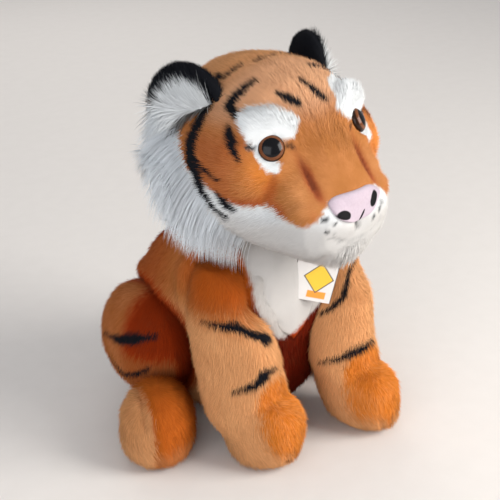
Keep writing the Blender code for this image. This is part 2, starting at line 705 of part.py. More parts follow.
for side in ("left", "right"):
    right = side == "right"
    sign = -1 if right else 1
    pose = (0, 0) if right else (LEFT_PAW_AHEAD, LEFT_PAW_ASIDE)
    carrier = pivot("foreleg_%s_pivot" % side,
                    Vector((sign * SHOULDER_INSIDE, SHOULDER_Y, shoulder_height)))
    cover = piece("foreleg_cover_" + side, foreleg_form(*pose), carrier, ORANGE, mirrored=right)
    combine(cover, torso_clearance("torso_by_foreleg_" + side, 0, right))
    hollow = guide("foreleg_hollow_" + side, offset(foreleg_form(*pose, INNER_STEPS), -COVER), carrier,
                   right)
    combine(hollow, torso_clearance("torso_in_foreleg_" + side, COVER, right))
    combine(cover, hollow)
    combine(cover, guide("foreleg_opening_" + side, cylinder(
        SHOULDER_RADIUS / 2, shoulder - sideways * OVERRUN, shoulder + sideways * 2 * OVERRUN, 16),
        carrier, right))
    filling = piece("foreleg_stuffing_" + side, offset(
        foreleg_form(*pose, INNER_STEPS), -COVER - FILLING_GAP), carrier, FILLING, 1.0, right)
    combine(filling, torso_clearance("torso_by_filling_" + side, COVER + FILLING_GAP, right))

# Hind legs: round thighs sewn flat to the hips, with broad paws that point outwards
thigh_row_shares = ((0.00, 0.90), (0.20, 0.99), (0.45, 0.98), (0.70, 0.82), (0.90, 0.50),
                    (1.00, 0.00))
hind_paw_row_shares = (
    # height, half width, half length, lean back
    (0.00, 0.74, 0.76, 0.02),
    (0.12, 0.94, 0.96, 0.00),
    (0.34, 1.00, 1.00, 0.00),
    (0.62, 0.96, 0.92, 0.04),
    (0.84, 0.72, 0.68, 0.10),
    (0.96, 0.38, 0.36, 0.12),
    (1.00, 0.00, 0.00, 0.12),
)
hip_face = HIP_HALF_WIDTH + GAP
hip = Vector((hip_face, HIP_Y, HIP_Z))


def thigh_form(plain=1):
    """A thigh's outer skin, flat on its hip side."""
    rows = [(hip_face + THIGH_THICKNESS * out, HIP_Y, HIP_Z, THIGH_RADIUS * width,
             THIGH_RADIUS * width) for out, width in thigh_row_shares]
    return loft(rows, Vector((0, 1, 0)), Vector((0, 0, 1)), THIGH_SIDES // plain, 2 // plain)


def hind_paw_form(x, y, splay, plain=1):
    """A hind paw's outer skin at its place and angle, flat on its sole."""
    ahead = Vector((math.sin(splay), -math.cos(splay), 0))
    aside = Vector((math.cos(splay), math.sin(splay), 0))
    rows = []
    for height, width, length, lean in hind_paw_row_shares:
        centre = Vector((x, y, HIND_PAW_HEIGHT * height))
        centre -= ahead * HIND_PAW_HALF_LENGTH * lean
        rows.append((*centre, HIND_PAW_HALF_WIDTH * width, HIND_PAW_HALF_LENGTH * length))
    return loft(rows, aside, ahead, HIND_PAW_SIDES // plain, 1)


for side in ("left", "right"):
    right = side == "right"
    sign = -1 if right else 1
    carrier = pivot("hind_leg_%s_pivot" % side, Vector((sign * HIP_HALF_WIDTH, HIP_Y, HIP_Z)))
    cover = piece("thigh_cover_" + side, thigh_form(), carrier, ORANGE, mirrored=right)
    combine(cover, guide("thigh_hollow_" + side, offset(thigh_form(INNER_STEPS), -COVER), carrier, right))
    combine(cover, guide("thigh_opening_" + side, cylinder(
        SEAM_OPENING, hip - sideways * OVERRUN, hip + sideways * (COVER + OVERRUN), 16), carrier,
        right))
    piece("thigh_stuffing_" + side, offset(thigh_form(INNER_STEPS), -COVER - FILLING_GAP), carrier, FILLING,
          1.0, right)
    pose = (LEFT_HIND_PAW_X, LEFT_HIND_PAW_Y, LEFT_HIND_PAW_SPLAY)
    if right:
        pose = (HIND_PAW_X, HIND_PAW_Y, HIND_PAW_SPLAY)
    paw = piece("hind_paw_cover_" + side, hind_paw_form(*pose), carrier, ORANGE, mirrored=right)
    combine(paw, guide("thigh_by_paw_" + side, offset(thigh_form(), GAP), carrier, right))
    paw_hollow = guide("hind_paw_hollow_" + side, offset(
        hind_paw_form(*pose, INNER_STEPS), -COVER), carrier, right)
    combine(paw_hollow, guide("thigh_in_paw_" + side, offset(thigh_form(), GAP + COVER), carrier,
                              right))
    combine(paw, paw_hollow)
    paw_middle = Vector((pose[0], pose[1], HIND_PAW_HEIGHT / 2))
    combine(paw, guide("hind_paw_opening_" + side, cylinder(
        HIND_PAW_HEIGHT * PAW_OPENING_SHARE, hip, paw_middle, 16), carrier, right))
    paw_filling = piece("hind_paw_stuffing_" + side, offset(
        hind_paw_form(*pose, INNER_STEPS), -COVER - FILLING_GAP), carrier, FILLING, 1.0, right)
    combine(paw_filling, guide("thigh_by_filling_" + side, offset(
        thigh_form(), GAP + COVER + FILLING_GAP), carrier, right))

# Tail: a plush tube with a round root against the seat, lying behind and round to the left
seat_point, seat_normal = skin_point(
    torso_form(), Vector((0, 2 * TORSO_BACK, TAIL_SEAT_HEIGHT)), forward)
seat_normal.x = 0
tail_root = seat_point + seat_normal.normalized() * (TAIL_RADIUS + GAP)
tail_point_shares = ((0.00, 0.00), (0.08, 0.52), (0.27, 0.92), (0.52, 1.00), (0.78, 0.78),
                     (0.95, 0.30), (1.00, -0.25))


def tail_line(share):
    """A place along the tail's middle, from root to tip."""
    spans = len(tail_point_shares) - 1
    index = min(int(share * spans), spans - 1)
    picks = [tail_point_shares[max(0, min(spans, index + shift))] for shift in (-1, 0, 1, 2)]
    side, back = between(*picks, share * spans - index)
    depth = TAIL_OUT if back > 0 else TAIL_RETURN * 2
    radius = TAIL_RADIUS + (TAIL_TIP_RADIUS - TAIL_RADIUS) * share
    level = tail_root.z + (radius + TAIL_LIFT - tail_root.z) * min(1, share * spans)
    return Vector((TAIL_SWEEP * side, tail_root.y + depth * back, level)), radius


def tail_tube(name, start, end, colour, round_start, round_end):
    """A stretch of the tail with flat or rounded ends."""
    count = round(TAIL_POINTS * (end - start))
    reach = 1 / (4 * TAIL_POINTS)
    closing = [(math.cos(math.pi / 2 * turn / TAIL_END_STEPS),
                math.sin(math.pi / 2 * turn / TAIL_END_STEPS)) for turn in range(TAIL_END_STEPS)]
    stations = [start + (end - start) * step / count for step in range(count + 1)]
    mesh = bmesh.new()
    rings = []
    for index, station in enumerate(stations):
        centre, radius = tail_line(station)
        ahead = tail_line(min(1, station + reach))[0] - tail_line(max(0, station - reach))[0]
        ahead.normalize()
        aside = ahead.cross(up).normalized()
        above = aside.cross(ahead)
        rounds = [(0, 1)]
        if round_start and index == 0:
            rounds = [(-push, width) for push, width in closing] + rounds
        if round_end and index == count:
            rounds += reversed(closing)
        for push, width in rounds:
            middle = centre + ahead * push * radius
            if width == 0:
                rings.append([mesh.verts.new(middle)])
                continue
            rings.append([mesh.verts.new(
                middle + (aside * math.cos(math.tau * turn / TAIL_SIDES)
                          + above * math.sin(math.tau * turn / TAIL_SIDES)) * radius * width)
                for turn in range(TAIL_SIDES)])
    for lower, upper in zip(rings, rings[1:]):
        for turn in range(TAIL_SIDES):
            following = (turn + 1) % TAIL_SIDES
            corners = [lower[turn % len(lower)], lower[following % len(lower)],
                       upper[following % len(upper)], upper[turn % len(upper)]]
            mesh.faces.new(list(dict.fromkeys(corners)))
    for ring in (rings[0], rings[-1]):
        if len(ring) > 1:
            mesh.faces.new(ring)
    bmesh.ops.recalc_face_normals(mesh, faces=mesh.faces)
    return piece(name, mesh, tail_pivot, colour)


tail_pivot = pivot("tail_pivot", tail_root)
tail_length = sum((tail_line((step + 1) / TAIL_POINTS)[0] - tail_line(step / TAIL_POINTS)[0]).length
                  for step in range(TAIL_POINTS))
tail_seam = 1 - TAIL_TIP_SHARE
tail_tube("tail", 0, tail_seam - GAP / tail_length, ORANGE, True, False)
tail_tube("tail_tip", tail_seam, 1, BLACK, False, True)

# Swing tag: a card that hangs from a plastic loop in the throat seam
def chest_at(height):
    """The front of the bib at a height, above the tag."""
    return skin_point(offset(torso_form(), GAP + PATCH),
                      Vector((TAG_X, -2 * TORSO_FRONT, height)), -forward)[0]


tag_top = TORSO_HEIGHT - TAG_DROP
tag_hinge = chest_at(tag_top) + forward * LOOP_REACH
loop_points = [chest_at(tag_top + 2 * LOOP_BEND) + forward * GAP]
for step in range(LOOP_STEPS + 1):
    turn = math.pi * step / LOOP_STEPS
    loop_points.append(tag_hinge + (up * (1 + math.cos(turn)) + forward * math.sin(turn))
                       * LOOP_BEND)
loop_points.append(chest_at(tag_top) + forward * GAP)
loop_curve = bpy.data.curves.new("tag_loop", "CURVE")
loop_curve.dimensions = "3D"
loop_curve.bevel_depth = LOOP_RADIUS
loop_curve.bevel_resolution = 2
loop_curve.use_fill_caps = True
loop_spline = loop_curve.splines.new("POLY")
loop_spline.points.add(len(loop_points) - 1)
for point, place in zip(loop_spline.points, loop_points):
    point.co = (*place, 1)
loop_curve.materials.append(surface("tag_loop", WHITE, 0.3))
tag_loop = bpy.data.objects.new("tag_loop", loop_curve)
bpy.context.scene.collection.objects.link(tag_loop)

tag_outline_shares = ((-0.36, 0.0), (-0.50, 0.12), (-0.50, 1.0), (0.50, 1.0), (0.50, 0.12),
                      (0.36, 0.0))
tag_pivot = pivot("tag_pivot", tag_hinge)
tag_down = Vector((0, -math.sin(TAG_TILT), -math.cos(TAG_TILT)))
tag_front = tag_down.cross(sideways)
tag_outline = [(TAG_WIDTH * across, TAG_HOLE_MARGIN - TAG_HEIGHT * down)
               for across, down in tag_outline_shares]
tag_card = piece("tag_card", prism(
    tag_outline, tag_hinge - tag_front * TAG_THICKNESS / 2,
    tag_hinge + tag_front * TAG_THICKNESS / 2, -tag_down), tag_pivot, WHITE, 0.7)
combine(tag_card, guide("tag_hole", cylinder(
    TAG_HOLE / 2, tag_hinge - tag_front * OVERRUN, tag_hinge + tag_front * OVERRUN, 16), tag_pivot))
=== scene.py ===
import math
from functools import partialmethod

import bmesh
import bpy
import numpy as np
from mathutils import Matrix, Vector
from mathutils.bvhtree import BVHTree


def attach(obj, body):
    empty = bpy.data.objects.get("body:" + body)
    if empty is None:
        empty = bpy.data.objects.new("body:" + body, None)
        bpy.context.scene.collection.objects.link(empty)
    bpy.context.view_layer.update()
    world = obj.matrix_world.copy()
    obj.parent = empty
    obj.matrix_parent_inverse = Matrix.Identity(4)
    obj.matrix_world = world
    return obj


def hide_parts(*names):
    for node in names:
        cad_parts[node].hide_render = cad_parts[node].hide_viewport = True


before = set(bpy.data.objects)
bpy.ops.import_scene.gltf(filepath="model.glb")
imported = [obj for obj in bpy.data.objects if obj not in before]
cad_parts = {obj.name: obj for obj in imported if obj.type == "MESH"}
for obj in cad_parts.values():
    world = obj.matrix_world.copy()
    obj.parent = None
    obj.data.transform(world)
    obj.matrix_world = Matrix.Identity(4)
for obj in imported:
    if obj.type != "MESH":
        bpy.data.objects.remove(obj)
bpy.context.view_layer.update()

# Floor, light and camera
# The toy sits on a plain pale table top. A large soft window light stands in front of it
# and to its left, and a weaker one fills the near side.
stage_set = bpy.context.scene.collection


class Wire:
    """One socket of a material's nodes, so that masks can be written as sums."""

    def __init__(self, finish, socket):
        self.finish = finish
        self.socket = socket

    def joined(self, operation, other, swapped=False):
        first, second = (other, self) if swapped else (self, other)
        return self.finish.node("ShaderNodeMath", {"operation": operation},
                                {0: first, 1: second})

    __add__ = partialmethod(joined, "ADD")
    __radd__ = partialmethod(joined, "ADD", swapped=True)
    __sub__ = partialmethod(joined, "SUBTRACT")
    __rsub__ = partialmethod(joined, "SUBTRACT", swapped=True)
    __mul__ = partialmethod(joined, "MULTIPLY")
    __rmul__ = partialmethod(joined, "MULTIPLY", swapped=True)

    def limited(self):
        return self.finish.node("ShaderNodeClamp", {}, {"Value": self})


class Finish:
    """A material that is put together from nodes."""

    def __init__(self, name, roughness=0.9, **fixed):
        self.material = bpy.data.materials.new(name)
        self.material.use_nodes = True
        self.nodes = self.material.node_tree.nodes
        self.links = self.material.node_tree.links
        self.set("Roughness", roughness)
        for title, value in fixed.items():
            self.set(title.replace("_", " "), value)

    def feed(self, socket, value):
        if isinstance(value, Wire):
            self.links.new(value.socket, socket)
        else:
            socket.default_value = value

    def set(self, title, value):
        self.feed(self.nodes["Principled BSDF"].inputs[title], value)

    def node(self, kind, settings, values=None, outlet=0):
        made = self.nodes.new(kind)
        for title, value in settings.items():
            setattr(made, title, value)
        for title, value in (values or {}).items():
            self.feed(made.inputs[title], value)
        return Wire(self, made.outputs[outlet])

    def place(self):
        return self.node("ShaderNodeTexCoord", {}, outlet="Object")

    def noise(self, scale, detail=2.0):
        return self.node("ShaderNodeTexNoise", {},
                         {"Vector": self.place(), "Scale": scale, "Detail": detail})

    def mark(self, name):
        return self.node("ShaderNodeAttribute", {"attribute_name": name}, outlet="Fac")

    def tint(self, share, first, second, way="MIX"):
        first, second = ((*colour, 1) if isinstance(colour, tuple) else colour
                         for colour in (first, second))
        return self.node("ShaderNodeMix", {"data_type": "RGBA", "blend_type": way},
                         {0: share, 6: first, 7: second}, 2)

    def bumped(self, height, depth):
        self.set("Normal", self.node("ShaderNodeBump", {}, {
            "Height": height, "Distance": depth, "Strength": 0.6}))


def added(name, data):
    """An object with this data, in the scene."""
    piece = bpy.data.objects.new(name, data)
    stage_set.objects.link(piece)
    return piece


def painted(piece, finish):
    piece.data.materials.clear()
    piece.data.materials.append(finish.material)


floor_mesh = bpy.data.meshes.new("table_top")
floor_mesh.from_pydata([(-3, -3, 0), (3, -3, 0), (3, 3, 0), (-3, 3, 0)], [], [(0, 1, 2, 3)])
table_top = added("table_top", floor_mesh)
pale_paint = Finish("pale_paint", roughness=0.7)
grain = pale_paint.noise(60.0, 4.0)
pale_paint.set("Base Color", pale_paint.tint(grain, (0.70, 0.66, 0.62), (0.74, 0.70, 0.66)))
painted(table_top, pale_paint)

room = bpy.data.worlds.new("pale_room")
room.use_nodes = True
backdrop = room.node_tree.nodes["Background"].inputs
backdrop["Color"].default_value = (0.93, 0.95, 1.0, 1)
backdrop["Strength"].default_value = 0.45
bpy.context.scene.world = room
bpy.context.scene.view_settings.view_transform = "Standard"

toy_middle = Vector((0, 0, 0.13))
for name, place, size, power, colour in (
        ("window", (0.70, -0.95, 0.66), 0.8, 22.0, (1.0, 0.98, 0.95)),
        ("fill", (-1.15, -0.75, 0.50), 1.2, 13.0, (0.94, 0.96, 1.0)),
        ("back_light", (0.5, 1.2, 0.9), 1.0, 5.0, (1.0, 0.98, 0.95))):
    lamp = bpy.data.lights.new(name, "AREA")
    lamp.size, lamp.energy, lamp.color = size, power, colour
    stand = added(name, lamp)
    stand.location = place
    stand.rotation_euler = (Vector(place) - toy_middle).to_track_quat("Z", "Y").to_euler()

view_turn, view_rise = math.radians(-38.4), math.radians(24.75)
towards = Vector((math.sin(view_turn) * math.cos(view_rise),
                  -math.cos(view_turn) * math.cos(view_rise), math.sin(view_rise)))
lens = bpy.data.cameras.new("camera")
lens.sensor_width, lens.lens = 36, 86.47
camera = added("camera", lens)
camera.location = Vector((0, 0, 0.1267)) + 0.8775 * towards
camera.rotation_euler = towards.to_track_quat("Z", "Y").to_euler()
bpy.context.scene.camera = camera

# Torso
# A pear-shaped bag of woven-back plush, cut from curved panels, sewn inside out, turned and
# stuffed with loose polyester filling. The legs are sewn into round openings in its sides.
GOLD = (0.48, 0.182, 0.048)
DEEP = (0.38, 0.042, 0.003)
BRIGHT = (0.78, 0.235, 0.026)
# Dark red for painted shade, used where the deep orange mark goes past 1.
PAINTED_SHADE_RED = (0.11, 0.005, 0.0005)
PALE = (0.84, 0.42, 0.185)
WHITE = (0.79, 0.84, 0.87)
BLACK = (0.010, 0.011, 0.015)
UNDER_PILE = 0.0036

plush = Finish("plush", roughness=0.85, Specular_IOR_Level=0.08)
hair, tip = plush.mark("hair"), plush.mark("tip")
cloud = plush.noise(55.0, 3.0)
tone = (hair * 0.55 + cloud * 0.9 - 0.72)
# This mark holds the deep orange dye and also painted shade: creases, the chest between the
# forelegs, the thighs, and the greyed white of the bib and jaw.
deep = plush.mark("deep")
calm = tone * (1.0 - deep.limited() * 0.9)
coat = plush.tint((deep + tone * 0.5).limited(), GOLD, DEEP)
# Past 1 the mark is painted shade, darkening the coat to a dark red.
coat = plush.tint((deep - 1.0 + tone * 0.3).limited(), coat, PAINTED_SHADE_RED)
coat = plush.tint((plush.mark("bright") + calm * 0.4).limited(), coat, BRIGHT)
coat = plush.tint((plush.mark("pale") + calm * 0.6).limited(), coat, PALE)
coat = plush.tint((tip * (0.20 - deep * 0.20) + calm * 0.3).limited(), coat, PALE)
snow = plush.tint((hair * 0.4 + cloud * 0.3).limited(), WHITE, (0.68, 0.71, 0.73))
# Painted shade: where that mark lies on white, as on the bib and the jaw, the white is greyed.
snow = plush.tint((deep * 0.9).limited(), snow, (0.55, 0.535, 0.52))
coat = plush.tint(plush.mark("white"), coat, snow)
# Black stripes, spots and threads, and also painted shade down the creases beside the muzzle.
coat = plush.tint(plush.mark("stripe"), coat, BLACK)
shade = 0.70 + tip * 0.36 + plush.mark("white") * 0.10
dim = plush.node("ShaderNodeCombineColor", {}, {0: shade, 1: shade * 0.97, 2: shade * 0.94})
plush.set("Base Color", plush.tint(1.0, coat, dim, "MULTIPLY"))


def listed(items, title, width=3, kind=float):
    """One property of all the items of a mesh, as rows of numbers."""
    values = np.empty(len(items) * width, kind)
    items.foreach_get(title, values)
    return values.reshape(-1, width)


def corners(piece):
    """The places of a piece's points, in metres."""
    return listed(piece.data.vertices, "co")


def facing(piece):
    """The way that each point of a piece faces."""
    return listed(piece.data.vertex_normals, "vector")


def lined_up(vectors):
    return vectors / np.maximum(np.linalg.norm(vectors, axis=1, keepdims=True), 1e-9)


def moved_to(piece, at):
    piece.data.vertices.foreach_set("co", at.ravel())
    piece.data.update()


def lifted(piece, height):
    """Lifts a skin straight out, by one height in metres or by one for each point."""
    height = np.broadcast_to(height, len(piece.data.vertices))
    moved_to(piece, corners(piece) + height[:, None] * facing(piece))


def eased(piece, rounds):
    """Softens a skin, as filling rounds off a seam, without making it smaller."""
    one, other = listed(piece.data.edges, "vertices", 2, int).T
    near, far = np.r_[one, other], np.r_[other, one]
    at = corners(piece)
    count = np.bincount(near, minlength=len(at))
    for turn in range(2 * rounds):
        mean = np.stack([np.bincount(near, at[far, k], len(at)) for k in range(3)], 1)
        at = at + (-0.45 if turn % 2 else 0.5) * (mean / count[:, None] - at)
    moved_to(piece, at)


def baked_down(piece):
    """Puts a piece's modifiers into its mesh."""
    bpy.context.view_layer.update()
    seen = bpy.context.evaluated_depsgraph_get()
    mesh = bpy.data.meshes.new_from_object(piece.evaluated_get(seen), depsgraph=seen,
                                           preserve_all_data_layers=True)
    piece.modifiers.clear()
    old = piece.data
    piece.data = mesh
    bpy.data.meshes.remove(old)
    mesh.name = piece.name


def sewn_skin(name, nodes, cell, inset, rounds=3):
    """One closed skin round the cut pieces of a part, lying under the pile's tips."""
    joined = bmesh.new()
    for node in nodes:
        joined.from_mesh(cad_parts[node].data)
    bmesh.ops.remove_doubles(joined, verts=joined.verts, dist=1e-6)
    mesh = bpy.data.meshes.new(name)
    joined.to_mesh(mesh)
    joined.free()
    mesh.materials.clear()
    piece = added(name, mesh)
    even = piece.modifiers.new("even", "REMESH")
    even.mode = "VOXEL"
    even.voxel_size = cell
    baked_down(piece)
    shell = bmesh.new()
    shell.from_mesh(piece.data)
    left, widest = set(shell.verts), set()
    while left:
        edge = [left.pop()]
        island = set(edge)
        while edge:
            for rim in edge.pop().link_edges:
                for point in left.intersection(rim.verts):
                    left.remove(point)
                    island.add(point)
                    edge.append(point)
        if len(island) > len(widest):
            widest = island
    bmesh.ops.delete(shell, geom=[v for v in shell.verts if v not in widest], context="VERTS")
    shell.to_mesh(piece.data)
    shell.free()
    eased(piece, rounds)
    lifted(piece, -inset)
    eased(piece, 2)
    piece.data.shade_smooth()
    return piece


def stuffed(piece, cap=0.0016):
    """Blows a skin up from inside, as filling does, by no more than cap."""
    at = corners(piece)
    copy = added(piece.name + "_filled", piece.data.copy())
    cloth = copy.modifiers.new("filling", "CLOTH")
    for title, value in (("quality", 4), ("mass", 0.15), ("tension_stiffness", 12),
                         ("compression_stiffness", 12), ("bending_stiffness", 0.6),
                         ("use_pressure", True), ("uniform_pressure_force", 4)):
        setattr(cloth.settings, title, value)
    cloth.settings.effector_weights.gravity = 0
    cloth.collision_settings.use_collision = False
    cloth.point_cache.frame_start, cloth.point_cache.frame_end = 1, 20
    for step in range(1, 21):
        bpy.context.scene.frame_set(step)
    grown = corners(copy.evaluated_get(bpy.context.evaluated_depsgraph_get())) - at
    bpy.context.scene.frame_set(1)
    bpy.data.objects.remove(copy)
    far = np.linalg.norm(grown, axis=1, keepdims=True)
    moved_to(piece, at + grown * np.minimum(1, cap / np.maximum(far, 1e-9)))
    eased(piece, 2)


def far_from(spot, place):
    return np.linalg.norm(spot - np.array(place), axis=1)


def reach(at, line):
    """How far each point lies from a line on the coat, and how wide the line is there, in mm."""
    line = np.asarray(line, float)
    best, width = np.full(len(at), 1e9), np.zeros(len(at))
    for one, other in zip(line[:-1], line[1:]):
        run = other[:3] - one[:3]
        share = np.clip(((at - one[:3]) @ run) / (run @ run), 0, 1)
        gap = np.linalg.norm(at - one[:3] - share[:, None] * run, axis=1)
        nearer = gap < best
        best = np.where(nearer, gap, best)
        width = np.where(nearer, one[3] + share * (other[3] - one[3]), width)
    return best, width


def step_up(value, low, high):
    share = np.clip((value - low) / (high - low), 0, 1)
    return share * share * (3 - 2 * share)


def scatter(at, seed, spread=1.0):
    """A small chance amount for each point, which frays the edges of the coat's colour marks."""
    return np.random.default_rng(seed).normal(0, spread, len(at))


def striped(at, lines, seed):
    """How black each point is under a set of stripes whose edges run into the coat."""
    loose = scatter(at, seed, 0.45)
    dark = np.zeros(len(at))
    for line in lines:
        gap, width = reach(at, line)
        dark = np.maximum(dark, step_up(width - gap + loose, -0.9, 0.9))
    return dark


def shaped(piece, lines, place=lambda at: at):
    """Sinks seams and creases into a skin, or lifts it along a line. A line's fourth number is
    its depth in mm, below nought where the skin is lifted, and each has a width in mm."""
    at, out = corners(piece), facing(piece)
    spot = place(at) * 1000
    drop = np.zeros(len(at))
    for line, width in lines:
        gap, depth = reach(spot, line)
        drop += depth * np.exp(-(gap / width) ** 2)
    moved_to(piece, at - out * drop[:, None] / 1000)


def surface(points, piece):
    """The faces of a piece through other points, to measure from."""
    return BVHTree.FromPolygons([Vector(point) for point in points],
                                [tuple(face.vertices) for face in piece.data.polygons])


def near_to(piece, nodes, room):
    """How near each point of a skin is to other cut pieces, from 0 to 1 where they touch."""
    at = corners(piece)
    close = np.zeros(len(at))
    for node in nodes:
        other = surface(corners(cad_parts[node]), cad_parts[node])
        for place, spot in enumerate(at):
            found = other.find_nearest(Vector(spot), room)
            if found[0] is not None:
                close[place] = max(close[place], 1 - found[3] / room)
    return close


pile_tree = bpy.data.node_groups.new("pile", "GeometryNodeTree")
for title, kind in (("Skin", "Geometry"), ("Strand", "Object"), ("Spacing", "Float"),
                    ("Lean", "Float"), ("Ruffle", "Float"), ("Waves", "Float"),
                    ("Stray", "Float"), ("Seed", "Int"), ("Finish", "Material")):
    pile_tree.interface.new_socket(title, in_out="INPUT", socket_type="NodeSocket" + kind)
pile_tree.interface.new_socket("Pile", in_out="OUTPUT", socket_type="NodeSocketGeometry")


def plant_pile(tree):
    """Points spread over the skin, each with one strand that leans along the comb."""
    def add(kind, values, **settings):
        made = tree.nodes.new(kind)
        for title, value in settings.items():
            setattr(made, title, value)
        for title, value in values.items():
            if isinstance(value, bpy.types.NodeSocket):
                tree.links.new(value, made.inputs[title])
            else:
                made.inputs[title].default_value = value
        return made.outputs

    def stored(title, kind):
        return add("GeometryNodeInputNamedAttribute", {"Name": title}, data_type=kind)["Attribute"]

    def combined(operation, first, second):
        return add("ShaderNodeVectorMath", {0: first, 1: second}, operation=operation)["Vector"]

    def scaled(way, amount):
        return add("ShaderNodeVectorMath", {"Vector": way, "Scale": amount},
                   operation="SCALE")["Vector"]

    given = tree.nodes.new("NodeGroupInput").outputs
    seed = given["Seed"]
    roots = add("GeometryNodeDistributePointsOnFaces",
                {"Mesh": given["Skin"], "Distance Min": given["Spacing"], "Density Max": 6e6,
                 "Density Factor": stored("cover", "FLOAT"), "Seed": seed},
                distribute_method="POISSON")
    any_way = add("FunctionNodeRandomValue", {0: (-1, -1, -1), 1: (1, 1, 1), "Seed": seed},
                  data_type="FLOAT_VECTOR")[0]
    stand = add("ShaderNodeMath", {0: 1.0, 1: given["Lean"]}, operation="SUBTRACT")[0]
    waves = add("ShaderNodeTexNoise", {"Scale": given["Waves"], "Detail": 1.5})["Color"]
    waves = combined("SUBTRACT", waves, (0.5, 0.5, 0.5))
    way = combined("ADD", scaled(roots["Normal"], stand),
                   scaled(stored("comb", "FLOAT_VECTOR"), given["Lean"]))
    way = combined("ADD", way, scaled(any_way, given["Stray"]))
    way = combined("ADD", way, scaled(waves, given["Ruffle"]))
    kept = add("GeometryNodeStoreNamedAttribute",
               {"Geometry": roots["Points"], "Name": "skin_way", "Value": roots["Normal"]},
               data_type="FLOAT_VECTOR", domain="POINT")["Geometry"]
    turn = add("FunctionNodeAlignRotationToVector", {"Vector": way}, axis="Z")[0]
    turn = add("FunctionNodeAlignRotationToVector",
               {"Rotation": turn, "Vector": stored("hang", "FLOAT_VECTOR")},
               axis="X", pivot_axis="Z")[0]
    size = add("FunctionNodeRandomValue", {2: 0.72, 3: 1.12, "Seed": seed}, data_type="FLOAT")[1]
    size = add("ShaderNodeMath", {0: size, 1: stored("rise", "FLOAT")}, operation="MULTIPLY")[0]
    strand = add("GeometryNodeObjectInfo", {"Object": given["Strand"]})["Geometry"]
    stems = add("GeometryNodeInstanceOnPoints", {"Points": kept, "Instance": strand,
                                                 "Rotation": turn, "Scale": size})["Instances"]
    solid = add("GeometryNodeRealizeInstances", {"Geometry": stems})[0]
    dyed = add("GeometryNodeSetMaterial", {"Geometry": solid, "Material": given["Finish"]})
    tree.links.new(dyed["Geometry"], tree.nodes.new("NodeGroupOutput").inputs["Pile"])


plant_pile(pile_tree)
ports = {item.name: item.identifier for item in pile_tree.interface.items_tree
         if item.in_out == "INPUT"}


def between(rows, count):
    """The faces between rows of points, where each row is a closed ring."""
    return [(row * count + side, row * count + (side + 1) % count,
             (row + 1) * count + (side + 1) % count, (row + 1) * count + side)
            for row in range(rows - 1) for side in range(count)]


def one_strand(length, thick, bend, rings):
    """A tapered, bent strand with three sides and a closed foot."""
    points = []
    for ring in range(rings):
        share = ring / rings
        wide = thick * (1 - share) ** 0.7
        for side in range(3):
            turn = side * math.tau / 3
            points.append((wide * math.cos(turn) + bend * length * share ** 2,
                           wide * math.sin(turn), length * share * (1 - 0.3 * bend * share)))
    top = len(points)
    points.append((bend * length, 0, length * (1 - 0.3 * bend)))
    sides = [(top - 3 + side, top - 3 + (side + 1) % 3, top) for side in range(3)]
    mesh = bpy.data.meshes.new("strand")
    mesh.from_pydata(points, [], [(0, 2, 1)] + between(rings, 3) + sides)
    return added("strand", mesh)


def noted(piece, title, values, kind="FLOAT"):
    """Keeps a number or a way for each point of a piece under a title."""
    layers = piece.data.attributes
    layer = layers.get(title) or layers.new(title, kind, "POINT")
    layer.data.foreach_set("value" if kind == "FLOAT" else "vector",
                           np.asarray(values, np.float32).ravel())


def coloured_by(piece, marks):
    for title in ("stripe", "white", "deep", "bright", "pale", "hair", "tip"):
        noted(piece, title, marks.get(title, np.zeros(len(piece.data.vertices))))


